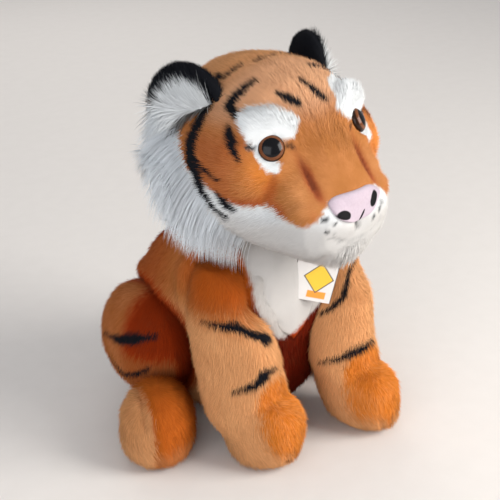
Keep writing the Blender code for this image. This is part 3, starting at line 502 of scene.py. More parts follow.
def grown_pile(name, skin, finish, marks, comb, inset, spacing=0.00088, length=0.0066,
               thick=0.00029, lean=0.54, seed=0, ruffle=0.5, waves=70.0, stray=0.16, bend=0.3,
               rings=1, soft=0.7):
    """Plants a skin with strands and colours each by the place where it shows."""
    at, out = corners(skin), facing(skin)
    colour_marks = marks(at + inset * out)
    way = lined_up(comb(at))
    hang = np.tile((0.0, 0.0, -1.0), (len(at), 1))
    if lean < 1:
        way = hang = lined_up(way - out * np.sum(way * out, axis=1, keepdims=True))
    for title in ("cover", "rise"):
        noted(skin, title, colour_marks.get(title, np.ones(len(at))))
    for title, values in (("comb", way), ("hang", hang)):
        noted(skin, title, values, "FLOAT_VECTOR")
    strand = one_strand(length, thick, bend, rings)
    field = added(name, skin.data.copy())
    planted = field.modifiers.new("pile", "NODES")
    planted.node_group = pile_tree
    for title, value in (("Strand", strand), ("Spacing", spacing), ("Lean", lean),
                         ("Ruffle", ruffle), ("Waves", waves), ("Stray", stray), ("Seed", seed),
                         ("Finish", finish.material)):
        planted[ports[title]] = value
    baked_down(field)
    bpy.data.objects.remove(strand)
    pile = field.data
    each = 3 * rings + 1
    count = len(pile.vertices) // each
    at = corners(field)
    at[:, 2] = np.maximum(at[:, 2], 0.0003)
    moved_to(field, at)
    at = at.reshape(count, each, 3)
    roots = at[:, :3].mean(1)
    skin_way = lined_up(listed(pile.attributes["skin_way"].data, "vector"))
    up = skin_way[::each]
    drift = 0.6 * (at[:, -1] - roots)
    drift -= up * np.sum(drift * up, axis=1, keepdims=True)
    marked = marks(roots + drift + inset * up)
    shares = np.r_[np.repeat(np.arange(rings) / rings, 3), 1]
    point_colours = {title: np.repeat(values, each) for title, values in marked.items()}
    point_colours["hair"] = np.repeat(np.random.default_rng(seed).random(count), each)
    point_colours["tip"] = np.tile(shares, count)
    coloured_by(field, point_colours)
    normals = lined_up((1 - soft) * facing(field) + soft * skin_way)
    for title in ("skin_way", "comb", "hang", "cover", "rise"):
        if title in pile.attributes:
            pile.attributes.remove(pile.attributes[title])
    cells = math.ceil(math.sqrt(count))
    inner = np.stack([np.r_[np.tile((0.15, 0.5, 0.85), rings), 0.5], 0.1 + 0.8 * shares], 1)
    where = np.arange(count)
    spots = (np.stack([where % cells, where // cells], 1)[:, None] + inner[None]) / cells
    spots = spots.reshape(-1, 2)
    for layer in list(pile.uv_layers):
        pile.uv_layers.remove(layer)
    loops = listed(pile.loops, "vertex_index", 1, int)[:, 0]
    pile.uv_layers.new(name="OFBake").data.foreach_set("uv", spots[loops].ravel())
    pile.shade_smooth()
    pile.normals_split_custom_set_from_vertices(normals)
    for title in ("comb", "hang", "cover", "rise"):
        skin.data.attributes.remove(skin.data.attributes[title])
    return field


def laid_on(skin, lines, inset=UNDER_PILE):
    """Lays lines, in mm, on the surface that a skin's pile makes."""
    ground = surface(corners(skin) + inset * facing(skin), skin)
    laid = []
    for line in lines:
        line, fine = np.asarray(line, float), []
        for one, other in zip(line[:-1], line[1:]):
            parts = max(1, int(np.linalg.norm(other[:3] - one[:3]) // 3))
            fine += [one + (other - one) * part / parts for part in range(parts)]
        fine.append(line[-1])
        laid.append([(*(1000 * ground.find_nearest(Vector(spot[:3]) / 1000)[0]), spot[3])
                     for spot in fine])
    return laid


def one_side(marks, hand):
    """The same colour marks, with pile on one side of the toy only."""
    def half(at):
        colour_marks = marks(at)
        return {**colour_marks, "cover": colour_marks.get("cover", 1.0) * (at[:, 0] * hand > 0).astype(float)}
    return half


def dressed(skin, body, nodes, marks, comb, fill, inset=UNDER_PILE, finish=plush, halves=False,
            **pile):
    """Gives a stuffed skin its colours, some of them painted shade, and its pile, and fixes skin
    and pile to their part of the frame.
    """
    for hand, side in ((1, "_left"), (-1, "_right")) if halves else ((0, ""),):
        coat = grown_pile(skin.name.replace("skin", "pile") + side, skin, finish,
                          one_side(marks, hand) if hand else marks, comb, inset, **pile)
        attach(coat, body)
    at = corners(skin) + inset * facing(skin)
    coloured_by(skin, {**marks(at), "hair": np.full(len(at), 0.5), "tip": np.full(len(at), 0.15)})
    painted(skin, finish)
    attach(skin, body)
    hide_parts(*nodes)


def mirrored(lines, hand):
    """Lines given for the toy's right side, put on either side."""
    return [[(x * -hand, y, z, wide) for x, y, z, wide in line] for line in lines]


def folded(spot):
    """Places on the toy's left side moved over to its right side."""
    return np.stack([-np.abs(spot[:, 0]), spot[:, 1], spot[:, 2]], 1)


def within(flat, outline):
    """How far inside a flat outline each point is, in mm; outside it is negative."""
    outline = np.asarray(outline, float)
    best, inside = np.full(len(flat), 1e9), np.zeros(len(flat), bool)
    for one, other in zip(outline, np.roll(outline, -1, 0)):
        run = other - one
        share = np.clip(((flat - one) @ run) / (run @ run), 0, 1)
        best = np.minimum(best, np.linalg.norm(flat - one - share[:, None] * run, axis=1))
        crosses = (one[1] > flat[:, 1]) != (other[1] > flat[:, 1])
        meet = one[0] + (flat[:, 1] - one[1]) * run[0] / (run[1] if run[1] else 1e-9)
        inside ^= crosses & (flat[:, 0] < meet)
    return np.where(inside, best, -best)


torso_nodes = ("torso_cover", "torso_stuffing")
torso = sewn_skin("torso_skin", torso_nodes, 0.0032, UNDER_PILE)
stuffed(torso)
joined_on = near_to(torso, ("foreleg_cover_left", "foreleg_cover_right", "thigh_cover_left",
                            "thigh_cover_right"), 0.018)
lifted(torso, 0.0042 * step_up(joined_on, 0, 0.8)
       * (1 + 0.7 * step_up(corners(torso)[:, 2], 0.085, 0.105)))
beside_bib = near_to(torso, ("chest_bib",), 0.012) * (corners(torso)[:, 2] < 0.13)
lifted(torso, 0.0030 * step_up(beside_bib, 0, 0.6))
eased(torso, 3)
back_bands = []
for height, back, wide in ((128, 66, 2.6), (104, 84, 3.2), (80, 94, 3.0), (56, 97, 2.6)):
    for hand in (-1, 1):
        back_bands.append([(0, back, height, wide), (hand * 18, back - 5, height - 4, wide),
                           (hand * 32, back - 16, height - 8, 0.4)])
back_bands = laid_on(torso, back_bands)
chest_white = [(-38, 160), (-37, 138), (-35, 112), (-30, 96), (-19, 80), (-8, 77), (10, 86),
               (28, 93), (36, 102), (38, 160)]


def shoulder_dye(spot):
    """How deep the coat's orange is over the shoulders, on the torso and the forelegs alike."""
    return (0.84 * step_up(spot[:, 2], 92, 128) * step_up(-spot[:, 1], -30, 36)
            + 0.20 * step_up(spot[:, 2], 95, 130))


def torso_marks(at):
    spot = at * 1000
    loose = scatter(at, 5)
    side, front = np.abs(spot[:, 0]), spot[:, 1]
    thigh = far_from(folded(spot), (-70, 45, 57)) - 47
    flank = step_up(side, 34, 46)
    # The orange is deeper on the chest than on the flanks. The extra depth towards the back, the
    # dark red over the chest front between the forelegs and the dark red round each thigh are
    # painted shade.
    deep = 1.0 - 0.85 * flank + 1.0 * (1 - flank) * (front < 0) + 0.5 * step_up(front, 0, 45)
    deep = np.maximum(deep, 1.1 * step_up(-thigh + 2 * loose, -14, -1))
    deep = np.maximum(deep, shoulder_dye(spot + 2 * loose[:, None]))
    white = (front < -15) * step_up(within(spot[:, [0, 2]], chest_white) + 0.7 * loose, -1.2, 1.2)
    hidden = (spot[:, 2] > 154) | (spot[:, 2] < 0.8)
    return {"deep": np.clip(deep, 0, 1.9), "stripe": striped(spot, back_bands, 7),
            "white": white, "rise": 1 - 0.4 * white,
            "bright": 0.35 * shoulder_dye(spot),
            "pale": 0.6 * flank * step_up(thigh, 2, 14) * step_up(-spot[:, 2], -112, -92),
            "cover": np.where(hidden, 0.0, 1.0)}


def combed_down(at):
    return np.tile((0.0, 0.15, -1.0), (len(at), 1))


dressed(torso, "torso", torso_nodes, torso_marks, combed_down, 0.8, halves=True, thick=0.00030,
        lean=0.56, seed=11)

# Bib
# A panel of white plush let into the chest between the forelegs. It runs down to a point.
def bib_marks(at):
    """White, with pile on the bib's front only, since its back lies against the torso."""
    spot = at * 1000
    white = step_up(within(spot[:, [0, 2]], chest_white) + 0.7 * scatter(at, 6), -1.2, 1.2)
    # Painted shade: the bib's white is greyed all over.
    return {"white": np.where(spot[:, 2] > 120, 1.0, white), "deep": np.ones(len(at)),
            "cover": (facing(bib)[:, 1] < -0.1).astype(float)}


bib = sewn_skin("bib_skin", ("chest_bib",), 0.0016, 0.0004)
dressed(bib, "torso", ("chest_bib",), bib_marks, combed_down, 0.5, 0.0004, spacing=0.00072,
        length=0.0040, thick=0.00030, lean=0.86, seed=12, ruffle=0.10, stray=0.04, soft=0.9)

# Forelegs
# Two straight stuffed legs that stand in front, each with a broad round paw. The paws are
# cut from brighter plush, and short stripes are sprayed across the shins.
right_bands = [
    [(-66, -34, 104, 0.8), (-63, -49, 104, 2.6), (-56, -57, 105, 3.6), (-50, -62, 101, 3.6),
     (-41, -65, 96, 4.2), (-36, -64, 92, 5.8), (-31, -62, 89, 3.0)],
    [(-64, -60, 56, 0.8), (-58, -68, 61, 2.2), (-51, -72, 63, 3.0), (-45, -73, 68, 4.6),
     (-38, -72, 70, 2.4), (-30, -71, 70, 1.0)]]
left_bands = [
    [(59, -50, 126, 1.2), (55, -53, 117, 1.8), (45, -58, 108, 2.2), (37, -61, 100, 2.4),
     (31, -58, 93, 2.2), (25, -49, 83, 1.0)],
    [(19, -59, 52, 1.0), (25, -73, 58, 2.0), (33, -78, 62, 3.4), (42, -81, 64, 3.2),
     (57, -78, 64, 1.2)]]


def foreleg_marks(leg, hand):
    bands = laid_on(leg, left_bands if hand > 0 else right_bands)
    dome_middle = np.array((47, -90, 34) if hand > 0 else (-30, -82, 32))

    def marks(at):
        spot = at * 1000
        loose = scatter(at, 8)
        height = spot[:, 2] + 2.0 * loose
        dome = np.linalg.norm((spot - dome_middle) * (1, 1, 0.85), axis=1) + 1.5 * loose
        paw = step_up(-dome, -31, -25)
        deep = shoulder_dye(spot + 2 * loose[:, None])
        pale = step_up(104 - height, -10, 12) * (1 - paw)
        if hand > 0:
            deep, pale = 0.3 * deep, np.maximum(pale, 0.85 * (1 - paw))
        toes = step_up(16 - height, -4, 8) * paw
        # Painted shade down the fold low on the paw's front: a deeper, less pale orange there.
        fold_shade = np.exp(-((spot[:, 0] - dome_middle[0]) / 3.0) ** 2) * step_up(22 - height, -2, 8)
        return {"stripe": striped(spot, bands, 9),
                "bright": paw * (1 - 0.6 * toes) + 0.35 * deep * (1 - paw),
                "deep": deep + 0.5 * fold_shade * paw,
                "pale": np.clip(pale + 0.5 * toes - 0.5 * fold_shade * paw, 0, 1),
                "cover": step_up(spot[:, 2], -1.0, 0.5)}
    return marks


def leg_shape(hand):
    """The swell towards the torso, the ankle, the paw's dome and the dents between its toes."""
    paw, front = (48, -106) if hand > 0 else (-34, -98)
    lines = [([(hand * 62, -34, 118, -2.0), (hand * 64, -40, 90, -2.5)], 14.0),
             ([(paw - 22, front + 32, 40, 1.6), (paw - 10, front + 23, 50, 4.0),
               (paw + 8, front + 23, 51, 4.0), (paw + 22, front + 34, 45, 2.4)], 6.0),
             ([(paw - 6, front + 13, 36, -3.6), (paw + 12, front + 13, 36, -3.6)], 11.0)]
    for aside in (-8, 8):
        lines.append(([(paw + aside, front + 10, 24, 1.0), (paw + aside, front + 2, 14, 2.4),
                       (paw + aside, front + 2, 5, 2.6)], 2.6))
    return lines


def filled_out(leg, way, amount, low, high):
    """Widens a leg by a soft bulge to one side between two heights, in mm."""
    at = corners(leg)
    way = np.array(way) / np.linalg.norm(way)
    height = at[:, 2] * 1000
    tall = step_up(height, low - 14, low + 14) * step_up(-height, -high - 16, 16 - high)
    side = step_up(facing(leg) @ way, -0.2, 0.9)
    moved_to(leg, at + (amount / 1000 * tall * side)[:, None] * way)
    eased(leg, 2)


def leg_comb(at):
    low = step_up(-at[:, 2] * 1000, -45, -20)[:, None]
    return (1 - low) * np.array([(0, 0.05, -1.0)]) + low * np.array([(0, -0.75, -0.65)])


bulges = {"right": (((-0.78, 0.62, 0), 10.0, 26, 108), ((0.78, -0.3, 0), 2.5, 70, 110)),
          "left": (((-0.85, 0.3, 0), 5.5, 46, 96), ((0.78, -0.4, 0), 5.0, 70, 120))}
for hand, side in ((1, "left"), (-1, "right")):
    nodes = ("foreleg_cover_" + side, "foreleg_stuffing_" + side)
    leg = sewn_skin("foreleg_skin_" + side, nodes, 0.0028, UNDER_PILE)
    stuffed(leg)
    for bulge in bulges[side]:
        filled_out(leg, *bulge)
    shaped(leg, leg_shape(hand))
    dressed(leg, "foreleg_" + side, nodes, foreleg_marks(leg, hand), leg_comb, 0.75,
            spacing=0.00086, length=0.0064, seed=20 + hand)

# Hind legs
# A flat round thigh and a short fat paw in front of it, both stuffed softly. A seam runs
# down the paw between its pale outer part and the bright rest.
thigh_bands = [
    [(-88, 68, 60, 0.8), (-92, 53, 63, 1.4), (-92, 41, 65, 3.6), (-90, 33, 68, 4.8),
     (-85, 24, 71, 4.2), (-75, 13, 74, 1.2)],
    [(-92, 60, 42, 1.4), (-90, 42, 33, 2.4), (-88, 26, 40, 2.4), (-85, 12, 49, 1.6)]]


def thigh_marks(thigh, hand):
    bands = laid_on(thigh, mirrored(thigh_bands, hand))

    def marks(at):
        spot = at * 1000
        loose = scatter(at, 14)
        inner = step_up(-spot[:, 1] + 2 * loose, -44, -28)
        body = step_up(-np.abs(spot[:, 0]) + loose, -70, -60)
        upper = step_up(spot[:, 2] + 2 * loose, 48, 66)
        return {"stripe": striped(spot, bands, 15),
                # A deeper orange over the thigh's front and top, darkening past 1 into painted
                # shade there and where the thigh meets the torso.
                "deep": np.clip(0.40 + 0.95 * inner * (0.15 + 0.85 * upper) + body, 0, 1.5),
                "pale": 0.10 * (1 - inner),
                "cover": step_up(spot[:, 2], -1.0, 0.5)}
    return marks


def hind_paw_marks(at):
    spot = at * 1000
    loose = scatter(at, 16)
    across = (np.abs(spot[:, 0]) - 92) * 0.9 + (spot[:, 1] + 8) * 0.25
    outer = step_up(across + 1.2 * loose, 11, 14)
    # Painted shade along the groove of the seam down the paw.
    seam_shade = np.exp(-((across - 11) / 2.5) ** 2)
    toes = step_up(18 - spot[:, 2] + 2 * loose, -4, 8)
    return {"bright": 0.50 * (1.0 - outer), "pale": np.clip(0.7 * outer + 0.35 * toes, 0, 1),
            "deep": np.clip(1.0 * (1 - outer) + 0.9 * seam_shade, 0, 1.4),
            "cover": step_up(spot[:, 2], -1.0, 0.5)}


def hind_paw_shape(hand):
    """The seam down the paw and the dents between its toes."""
    seam = [(hand * 97, 12, 49, 1.2), (hand * 106, -12, 47, 3.0), (hand * 113, -24, 39, 3.4),
            (hand * 115, -33, 26, 3.2), (hand * 114, -40, 10, 2.4)]
    toe = [(hand * 99, -42, 26, 1.4), (hand * 98, -46, 10, 2.4)]
    return [(seam, 3.4), (toe, 2.8)]


for hand, side in ((1, "left"), (-1, "right")):
    nodes = ("thigh_cover_" + side, "thigh_stuffing_" + side)
    thigh = sewn_skin("thigh_skin_" + side, nodes, 0.0028, UNDER_PILE)
    stuffed(thigh)
    dressed(thigh, "hind_leg_" + side, nodes, thigh_marks(thigh, hand), combed_down, 0.7,
            seed=30 + hand)
    nodes = ("hind_paw_cover_" + side, "hind_paw_stuffing_" + side)
    paw = sewn_skin("hind_paw_skin_" + side, nodes, 0.0026, UNDER_PILE)
    stuffed(paw)
    shaped(paw, hind_paw_shape(hand))
    dressed(paw, "hind_leg_" + side, nodes, hind_paw_marks, leg_comb, 0.7, spacing=0.00085,
            seed=34 + hand)

# Tail
# A thin stuffed tube that curls round one side on the table, with black rings and a black end.
def tail_marks(at):
    spot = at * 1000
    turn = np.degrees(np.arctan2(spot[:, 1] - 90, spot[:, 0] - 55))
    ring = np.abs((turn + scatter(at, 17, 1.2)) % 34 - 17)
    return {"stripe": step_up(6 - ring, -1.5, 1.5), "deep": np.full(len(at), 0.35),
            "cover": step_up(spot[:, 2], 0.2, 1.2)}


def tail_tip_marks(at):
    return {"stripe": np.ones(len(at)), "cover": step_up(at[:, 2] * 1000, 0.2, 1.2)}


def tail_comb(at):
    spot = at * 1000 - np.array([(55, 90, 12)])
    return np.stack([spot[:, 1], -spot[:, 0], np.zeros(len(at))], 1)


for name, beyond, marks in (("tail", "tail_tip", tail_marks),
                            ("tail_tip", "tail", tail_tip_marks)):
    tube = sewn_skin(name + "_skin", (name,), 0.0022, 0.0030)
    meets = step_up(near_to(tube, (beyond,), 0.008), 0, 0.5)
    meets = meets * np.abs(np.sum(facing(tube) * lined_up(tail_comb(corners(tube))), axis=1))
    lifted(tube, 0.0036 * meets)
    dressed(tube, "tail", (name,), marks, tail_comb, 0.7, 0.0030, spacing=0.0009, length=0.0062,
            thick=0.0003, lean=0.66, seed=40, stray=0.1)

# Head
# A big round head of several panels, stuffed hard. The muzzle stands out in front, with a
# crease down each side, and brows, under-eyes, jaw and chin are white insets.
HEAD_YAW = math.radians(5.2)
neck = np.array([(0.0, -0.004, 0.0)])
yaw = np.array([(math.cos(HEAD_YAW), -math.sin(HEAD_YAW), 0),
                (math.sin(HEAD_YAW), math.cos(HEAD_YAW), 0), (0, 0, 1)])


def straight(at):
    """Places on the head as they are before the head is turned, in metres."""
    return (at - neck) @ yaw + neck


def on_head(at):
    """Places given for a straight head, turned with the head."""
    return (np.asarray(at, float) - neck) @ yaw.T + neck


head_bands = [
    [(-34, -6, 267, 2.6), (-49, -14, 258, 4.6), (-63, -17, 245, 5.6), (-71, -17, 233, 6.7),
     (-75, -20, 223, 6.9), (-77, -28, 214, 5.6), (-75, -30, 201, 4.4), (-73, -37, 192, 2.8),
     (-69, -48, 186, 1.9)],
    [(-75, -23, 226, 2.6), (-75, -33, 220, 2.2), (-75, -40, 217, 1.9), (-74, -47, 214, 1.2)],
    [(-75, -45, 202, 2.8), (-72, -50, 197, 3.3), (-69, -55, 193, 2.3)],
    [(-59, -42, 245, 2.6), (-63, -48, 236, 3.1), (-63, -54, 228, 1.8)],
    [(-25, -31, 267, 1.5), (-35, -31, 264, 2.8), (-45, -31, 259, 3.6), (-50, -32, 256, 3.8),
     (-51, -38, 253, 3.1), (-53, -44, 249, 1.8)],
    [(-16, -9, 271, 0.8), (-26, -11, 269, 1.8), (-36, -11, 266, 2.0)],
    [(-20, 34, 262, 2.8), (-44, 34, 250, 3.3), (-60, 30, 234, 1.8)],
    [(-14, 48, 240, 2.8), (-36, 46, 230, 3.3), (-56, 36, 214, 1.8)],
    [(-10, 50, 212, 2.6), (-34, 46, 202, 3.1), (-50, 38, 190, 1.5)]]
spots = [[(-21, -47, 262, 1.6), (-16, -52, 258, 3.2), (-11, -56, 254, 3.2)],
         [(1, -47, 265, 2.0), (7, -53, 258, 3.6), (12, -57, 253, 3.2)],
         [(-8, -13, 273, 1.0), (12, -11, 272, 1.4)]]
threads = [[(-31, -102, 191, 1.7), (-28, -102, 191, 1.7)],
           [(-24, -103, 187, 1.4), (-22, -103, 187, 1.4)],
           [(-31, -103, 183, 1.4), (-28, -103, 182, 1.4)],
           [(-23, -103, 180, 1.1), (-22, -103, 180, 1.1)],
           [(25, -103, 189, 1.6), (23, -103, 189, 1.6)],
           [(20, -104, 185, 1.3), (19, -104, 185, 1.3)],
           [(14, -104, 182, 1.3), (12, -104, 182, 1.3)],
           [(22, -104, 179, 1.1), (21, -104, 179, 1.1)],
           [(-1, -105, 186, 1.2), (0, -105, 179, 1.0)]]
eye_corners = [[(-56, -56, 234, 0.9), (-52, -60, 234, 1.0)],
               [(-31, -68, 234, 1.0), (-27, -70, 232, 1.0)]]
mouth = [(-27, -103, 177, 0.3), (-18, -104, 173, 0.5), (-8, -104, 170, 0.6),
         (6, -104, 170, 0.6), (14, -104, 171, 0.5), (26, -103, 176, 0.3)]
brow_right = [(53, 255), (45, 259), (29, 259), (18, 254), (13.5, 248), (20, 238), (30, 235.5),
              (38, 233), (44.5, 235), (48, 244)]
brow_left = [(55, 256), (47, 262), (31, 263), (20, 255), (15, 248), (21, 238), (30, 235.5),
             (38, 233), (44.5, 235), (50, 244)]
under_eye = [(43, 236), (38, 226), (33, 218), (30, 222), (30, 230), (36, 235)]
white_line = [(-22, 202), (20, 202), (22.8, 197), (26.2, 192), (29.6, 188), (34.3, 186),
              (39.5, 188), (45.6, 192), (52, 198), (61.3, 197), (74.5, 199), (84, 206),
              (89, 213), (97, 214), (110, 208), (180, 150)]


def pile_shares(spot):
    """How far each place is from its eye, and how short the pile is by the nose and the eye."""
    eye = far_from(folded(spot), (-41.9, -64.1, 233.3))
    nose = far_from(spot, (0, -100, 192))
    return eye, 0.36 + 0.64 * step_up(nose, 20, 64), 0.42 + 0.58 * step_up(eye, 12, 26)


def head_marks(at):
    spot = straight(at) * 1000
    both = folded(spot)
    loose = scatter(at, 18)
    front = spot[:, 1] < -30
    round_face = np.degrees(np.arctan2(np.abs(spot[:, 0]), -spot[:, 1]))
    flat = np.stack([round_face, spot[:, 2]], 1)
    turn = np.degrees(np.arctan2(np.abs(spot[:, 0]), -(spot[:, 1] + 30)))
    limit = np.interp(turn, *np.array(white_line).T)
    white = step_up(limit - spot[:, 2] + 0.8 * loose, -1.2, 1.6)
    brow = front * np.where(spot[:, 0] < 0, within(flat, brow_right), within(flat, brow_left))
    white = np.maximum(white, front * step_up(brow + 0.3 * loose, -0.5, 0.5))
    white = np.maximum(white, front * step_up(within(flat, under_eye) + 0.3 * loose, -0.5, 0.5))
    # Painted sheen: a faint white over the front of the forehead.
    forehead_sheen = step_up(spot[:, 2], 242, 256) * step_up(-spot[:, 1], 5, 30)
    white = np.maximum(white, 0.12 * forehead_sheen)
    eye, by_nose, by_eye = pile_shares(spot)
    cheek = step_up(spot[:, 1] + 3 * loose, -66, -52) * step_up(-spot[:, 1], 0, 20)
    deep = 0.48 * cheek * step_up(-spot[:, 2], -252, -234)
    glow = far_from(both, (-57, -65, 218))
    side_pad = far_from(both, (-40, -86, 204))
    lower = 0.25 + 0.75 * step_up(-spot[:, 2], -230, -214)
    # Painted shade: the orange darkens along the creases beside the muzzle, under the cheeks and
    # along the edge of the white jaw.
    for line, amount, wide in ((crease_line, 1.2 * lower, 3.2), (low_crease, 1.0, 2.4),
                               (cheek_edge, 0.95, 3.4), (edge_line, 0.9, 5.0)):
        gap, _ = reach(both, line)
        deep = np.maximum(deep, amount * np.exp(-(gap / wide) ** 2) * (1 - white))
    chin = far_from(spot, (0, -88, 160))
    rise = by_nose + 1.3 * step_up(-chin, -26, -14) * (spot[:, 2] < 168)
    rise = rise * by_eye + 0.40 * step_up(brow, 1, 6) * step_up(spot[:, 2], 240, 250)
    pad = (spot[:, 1] < -85) * step_up(within(spot[:, [0, 2]], nose_outline), -0.6, 0.6)
    hidden = (spot[:, 2] < 158) & (spot[:, 1] > -50)
    dark = np.zeros(len(at))
    for places, lines, share, seed in ((both, head_lines, 1, 19), (spot, spot_lines, 1, 20),
                                       (spot, thread_lines, 0.95, 21),
                                       (both, corner_lines, 1, 22), (spot, mouth_line, 0.45, 23)):
        dark = np.maximum(dark, share * striped(places, lines, seed))
    # Painted shade: a brownish black down the crease beside the muzzle.
    fold, _ = reach(both, crease_line)
    dark = np.maximum(dark, 0.62 * lower * np.exp(-(fold / 1.8) ** 2))
    # Painted shade: the white below the muzzle is greyed towards the jaw.
    return {"white": white, "stripe": dark,
            "deep": deep * (1 - white) + 0.05 + 0.8 * white * step_up(-spot[:, 2], -196, -180),
            "bright": 0.85 * np.exp(-(glow / 13) ** 2),
            # The pale over the crown is painted sheen; the small even pale and the pale by the
            # muzzle's sides are the coat's own.
            "pale": (0.75 * step_up(spot[:, 2], 246, 262) + 0.12
                     + 0.22 * np.exp(-(side_pad / 12) ** 2)),
            "cover": step_up(eye, 8.6, 9.4) * (1 - pad) * np.where(hidden, 0.0, 1.0),
            "rise": rise}


def head_comb(at):
    spot = straight(at) * 1000
    way = lined_up(spot - np.array([(0, -108, 196)]))
    way[:, 2] -= 0.35 * (spot[:, 2] < 225)
    return way @ yaw.T


head_nodes = ("head_cover", "head_stuffing", "jaw_panel_left", "jaw_panel_right", "chin_panel",
              "brow_patch_left", "brow_patch_right", "under_eye_patch_left",
              "under_eye_patch_right")
head = sewn_skin("head_skin", head_nodes, 0.0030, UNDER_PILE)
stuffed(head, 0.0012)
crease_line = [(-28, -70, 232, 0.4), (-27, -75, 225, 2.4), (-26, -81, 217, 5.6),
               (-26, -87, 209, 6.0), (-26, -92, 204, 4.2), (-25, -95, 200, 1.0)]
low_crease = [(-33, -87, 205, 0.8), (-35, -93, 199, 1.6), (-36, -97, 193, 1.0)]
cheek_edge = [(-40, -71, 223, 0.6), (-46, -71, 217, 2.2), (-51, -72, 210, 3.4),
              (-54, -72, 203, 4.0), (-54, -74, 198, 3.0)]
edge_line = [(-76, -33, 205, 1.4), (-72, -50, 199, 1.8), (-64, -65, 198, 2.0),
             (-55, -73, 199, 2.0), (-50, -79, 192, 1.2)]
muzzle_pad = [(-39, -78, 216, -2.8), (-41, -82, 207, -5.4), (-41, -87, 198, -5.6)]
cheek_pillow = [(-62, -56, 224, -1.6), (-60, -61, 213, -2.6), (-62, -57, 206, -2.0)]
white_pad = [(-24, -103, 184, -2.2), (-12, -104, 181, -2.6)]
lip = [(-22, -102, 176, 1.4), (-10, -104, 171, 2.0), (0, -105, 169.5, 2.0)]
split = [(0, -106, 186, 1.8), (0, -105, 170, 2.0)]
bridge = [(0, -56, 255, -2.0), (0, -70, 241, -4.2), (0, -84, 225, -4.8), (0, -95, 210, -2.6)]
brow_pillow = [(-22, -58, 249, -2.6), (-36, -54, 248, -4.2), (-49, -48, 245, -4.0)]
eye_ring = [(-33, -68, 240, 1.6), (-30, -70, 232, 1.8), (-36, -70, 224, 1.4),
            (-47, -65, 224, 1.2), (-52, -60, 232, 1.4), (-49, -58, 240, 1.0)]
temple = [(-62, -44, 240, 1.8), (-58, -54, 226, 1.2)]
both_sides = [(bridge, 15.0), (split, 2.0)]
for line, width in ((muzzle_pad, 9.5), (white_pad, 7.0), (crease_line, 2.8), (low_crease, 2.4),
                    (cheek_edge, 4.0), (lip, 2.2), (edge_line, 3.6), (brow_pillow, 8.0),
                    (cheek_pillow, 10.0), (eye_ring, 3.0), (temple, 9.0)):
    both_sides += [(line, width), (mirrored([line], 1)[0], width)]
shaped(head, both_sides, straight)
nose_outline = [(-25, 199), (-15, 203), (12, 203), (25, 199), (20, 193), (13, 187), (5, 183),
                (-3, 182.5), (-11, 185), (-18, 188), (-23, 193)]


def on_coat(lines):
    """Lines on a straight head, laid on the turned one and brought back."""
    def moved(lines, move):
        return [[(*(move(np.array([point[:3]]) / 1000)[0] * 1000), point[3]) for point in line]
                for line in lines]
    return moved(laid_on(head, moved(lines, on_head)), straight)


spot = straight(corners(head)) * 1000
eye, by_nose, by_eye = pile_shares(spot)
crown = step_up(spot[:, 2], 243, 262) * step_up(-spot[:, 1], -50, -10)
temples = (step_up(np.abs(spot[:, 0]), 34, 58) * step_up(-spot[:, 1], 10, 34)
           * step_up(spot[:, 2], 200, 225) * step_up(eye, 10, 22))
lifted(head, 0.0030 * (1 - by_nose * by_eye) + 0.0034 * np.maximum(crown, temples))
eased(head, 1)
head_lines, spot_lines, thread_lines = on_coat(head_bands), on_coat(spots), on_coat(threads)
corner_lines, mouth_line = on_coat(eye_corners), on_coat([mouth])
dressed(head, "head", head_nodes, head_marks, head_comb, 0.9, halves=True, length=0.0058,
        thick=0.00028, lean=0.56, seed=50, stray=0.15)

# Cheek ruffs
# A thick fringe of long white pile sewn in behind each cheek, from under the ear down to the
# jaw. It hangs out and down over the shoulder.
silk = Finish("ruff_silk", roughness=0.8, Specular_IOR_Level=0.1)
strand_tone = silk.tint(silk.mark("hair"), (0.93, 0.97, 1.0), (0.80, 0.84, 0.87))
silk_shade = 0.76 + silk.mark("tip") * 0.28
silk.set("Base Color", silk.tint(1.0, strand_tone, silk.node(
    "ShaderNodeCombineColor", {}, {0: silk_shade, 1: silk_shade, 2: silk_shade}), "MULTIPLY"))


def ruff_marks(at):
    spot = straight(at) * 1000
    return {"rise": 0.80 + 0.25 * step_up(-spot[:, 2], -215, -180)}


def fringe_marks(at):
    spot = straight(at) * 1000
    front = np.interp(spot[:, 2], (165, 190, 203, 217, 233, 246, 258),
                      (-56, -38, -27, -17, -6, 3, 12))
    behind = step_up(spot[:, 1] - front, 0, 1.5) * step_up(
        front + np.interp(spot[:, 2], (238, 252), (26, 12)) - spot[:, 1], 0, 8)
    tall = step_up(spot[:, 2], 164, 170) * step_up(-spot[:, 2], -258, -254)
    return {"cover": behind * tall * (np.abs(spot[:, 0]) > 34),
            "rise": 0.80 + 0.22 * step_up(-spot[:, 2], -235, -205)
            - 0.32 * step_up(-spot[:, 2], -194, -172)}


def ruff_comb(hand):
    """Out from the cheek under the ear, and more and more downwards towards the jaw."""
    ahead = (0.08, -0.05, -0.25, -0.42, -0.42) if hand > 0 else (0.26, 0.30, 0.32, 0.26, 0.20)

    def comb(at):
        height = straight(at)[:, 2] * 1000
        stops = (165, 190, 215, 232, 248)
        way = np.stack([np.interp(height, stops, sides) for sides in (
            (0.26, 0.38, 0.62, 0.82, 0.90), ahead, (-0.95, -0.88, -0.66, -0.30, -0.05))], 1)
        way[:, 0] *= hand
        return way @ yaw.T
    return comb


